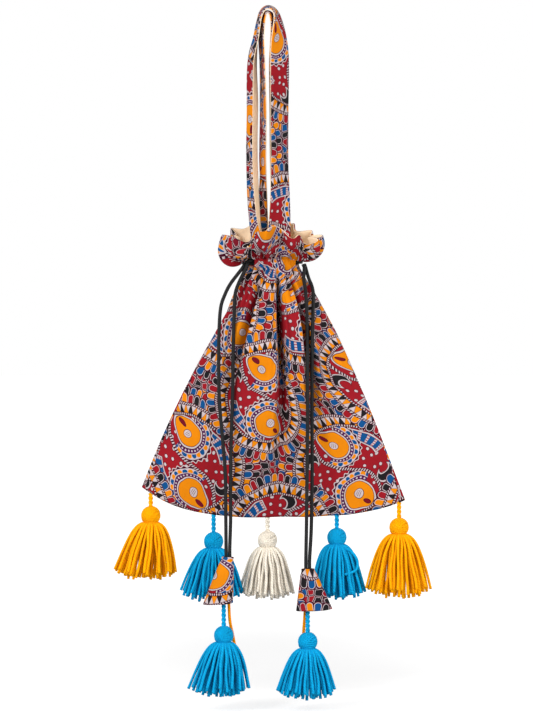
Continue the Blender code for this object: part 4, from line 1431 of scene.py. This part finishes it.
class POTLI_OT_drawstrings(bpy.types.Operator):
    """Adds the two drawstrings with their knots, cloth caps, yarn tails and stems"""

    bl_idname = "potli.drawstrings"
    bl_label = "Drawstrings and caps"

    def execute(self, context):
        samples = front_samples()
        for side, made in DRAWSTRINGS.items():
            channel_cord(side)
            knot = cord_knot(side)
            cap = cord_cap(side)
            for name, strand_side, sign, route in STRANDS:
                if strand_side == side:
                    drawstring_strand(samples, name, side, sign, route)
            self.add_stem(side, made)
            self.add_tail(side, made)
        return {"FINISHED"}

    def add_stem(self, side, made):
        x, y, z = made["tassel_x"], made["hang_y"], made["tassel_z"]
        top = Vector((made["top"][0], y, made["top"][1] - 0.018))
        points = [top, Vector((x, y, z + 0.012)), Vector((x, y, z))]
        name, node = side + "_stem_yarn", side + "_yarn_stem"
        yarn_line(name, points, "blue", side + "_drawstring", node, STEM_RADIUS)

    def add_tail(self, side, made):
        points = [(x, made["hang_y"] + behind, z) for x, behind, z in made["tail"]]
        name, node = side + "_orange_tail", side + "_yarn_tail"
        tail, line = yarn_line(name, points, "orange", side + "_pendant", node, TAIL_RADIUS, yarns=1)
        round(run_lengths(line)[-1], 3)


class POTLI_OT_cloth(bpy.types.Operator):
    """Adds the front and back panels of printed cotton and the cream lining"""

    bl_idname = "potli.cloth"
    bl_label = "Bag cloth"

    def execute(self, context):
        panel("front_cloth", True, printed_cotton("printed_front", (0.013, 0.034, 0)))
        panel("back_cloth", False, printed_cotton("printed_back", (0.61, 0.27, 0)))
        lining()
        return {"FINISHED"}


class POTLI_OT_handles(bpy.types.Operator):
    """Adds the two strap handles, printed outside and cream inside"""

    bl_idname = "potli.handles"
    bl_label = "Strap handles"

    def execute(self, context):
        sizes = bag_settings()
        for name, stations, seed in (("front_handle", FRONT_HANDLE, 3.1), ("back_handle", BACK_HANDLE, 8.4)):
            cotton = printed_cotton(name + "_cotton", (0.30 + seed / 20, 0.9 + seed / 9, 0))
            layers = (
                (name + "_print", cotton, name + "_strap", "printed_cloth", sizes.cloth, -1),
                (name + "_cream", cream_cotton(), name + "_facing", "cream_cloth", sizes.lining, 1),
            )
            for layer, material, node, slot, thickness, side in layers:
                strap_layer(layer, stations, material, node, slot, thickness, side, seed)
        return {"FINISHED"}


class POTLI_OT_tassels(bpy.types.Operator):
    """Adds the five hem tassels and the two that hang from the drawstrings"""

    bl_idname = "potli.tassels"
    bl_label = "Yarn tassels"

    def execute(self, context):
        for number, (x, head_drop, length, radius, lean, colour) in enumerate(HEM_TASSELS, 1):
            hang = hem_point(hem_across(x)) - Vector((0, 0, 0.0002))
            stray = [hang + Vector(point) for point in STRAY_STRAND] if number == STRAY_TASSEL else None
            name = f"hem_tassel_{number}"
            tassel(name, hang, head_drop, length, radius, lean, colour, number, stray)
        for number, (side, made) in enumerate(DRAWSTRINGS.items(), 6):
            hang = Vector((made["tassel_x"], made["hang_y"], made["tassel_z"]))
            length, radius, lean = made["skirt"]
            name = side + "_pendant"
            tassel(name, hang, made["tassel_drop"], length, radius, lean, "blue", number)
        return {"FINISHED"}


class POTLI_PT_panel(bpy.types.Panel):
    """The bag's pieces and settings"""

    bl_idname = "POTLI_PT_panel"
    bl_label = "Potli bag"
    bl_space_type = "VIEW_3D"
    bl_region_type = "UI"
    bl_category = "Potli bag"

    def draw(self, context):
        for piece in PIECES:
            self.layout.operator(piece.bl_idname)
        for settings in (context.scene.potli_bag, context.scene.potli_print):
            box = self.layout.box()
            for name in settings.bl_rna.properties.keys():
                if name not in ("rna_type", "name"):
                    box.prop(settings, name)


PIECES = (POTLI_OT_stage, POTLI_OT_drawstrings, POTLI_OT_cloth, POTLI_OT_handles, POTLI_OT_tassels)
CLASSES = (PotliPrintSettings, PotliBagSettings, *PIECES, POTLI_PT_panel)


def register():
    for item in CLASSES:
        bpy.utils.register_class(item)
    bpy.types.Scene.potli_print = PointerProperty(type=PotliPrintSettings)
    bpy.types.Scene.potli_bag = PointerProperty(type=PotliBagSettings)


def unregister():
    del bpy.types.Scene.potli_bag
    del bpy.types.Scene.potli_print
    for item in reversed(CLASSES):
        bpy.utils.unregister_class(item)


def main():
    register()
    bpy.ops.potli.stage()
    bpy.ops.potli.drawstrings()
    bpy.ops.potli.cloth()
    bpy.ops.potli.handles()
    bpy.ops.potli.tassels()


if __name__ == "__main__":
    main()
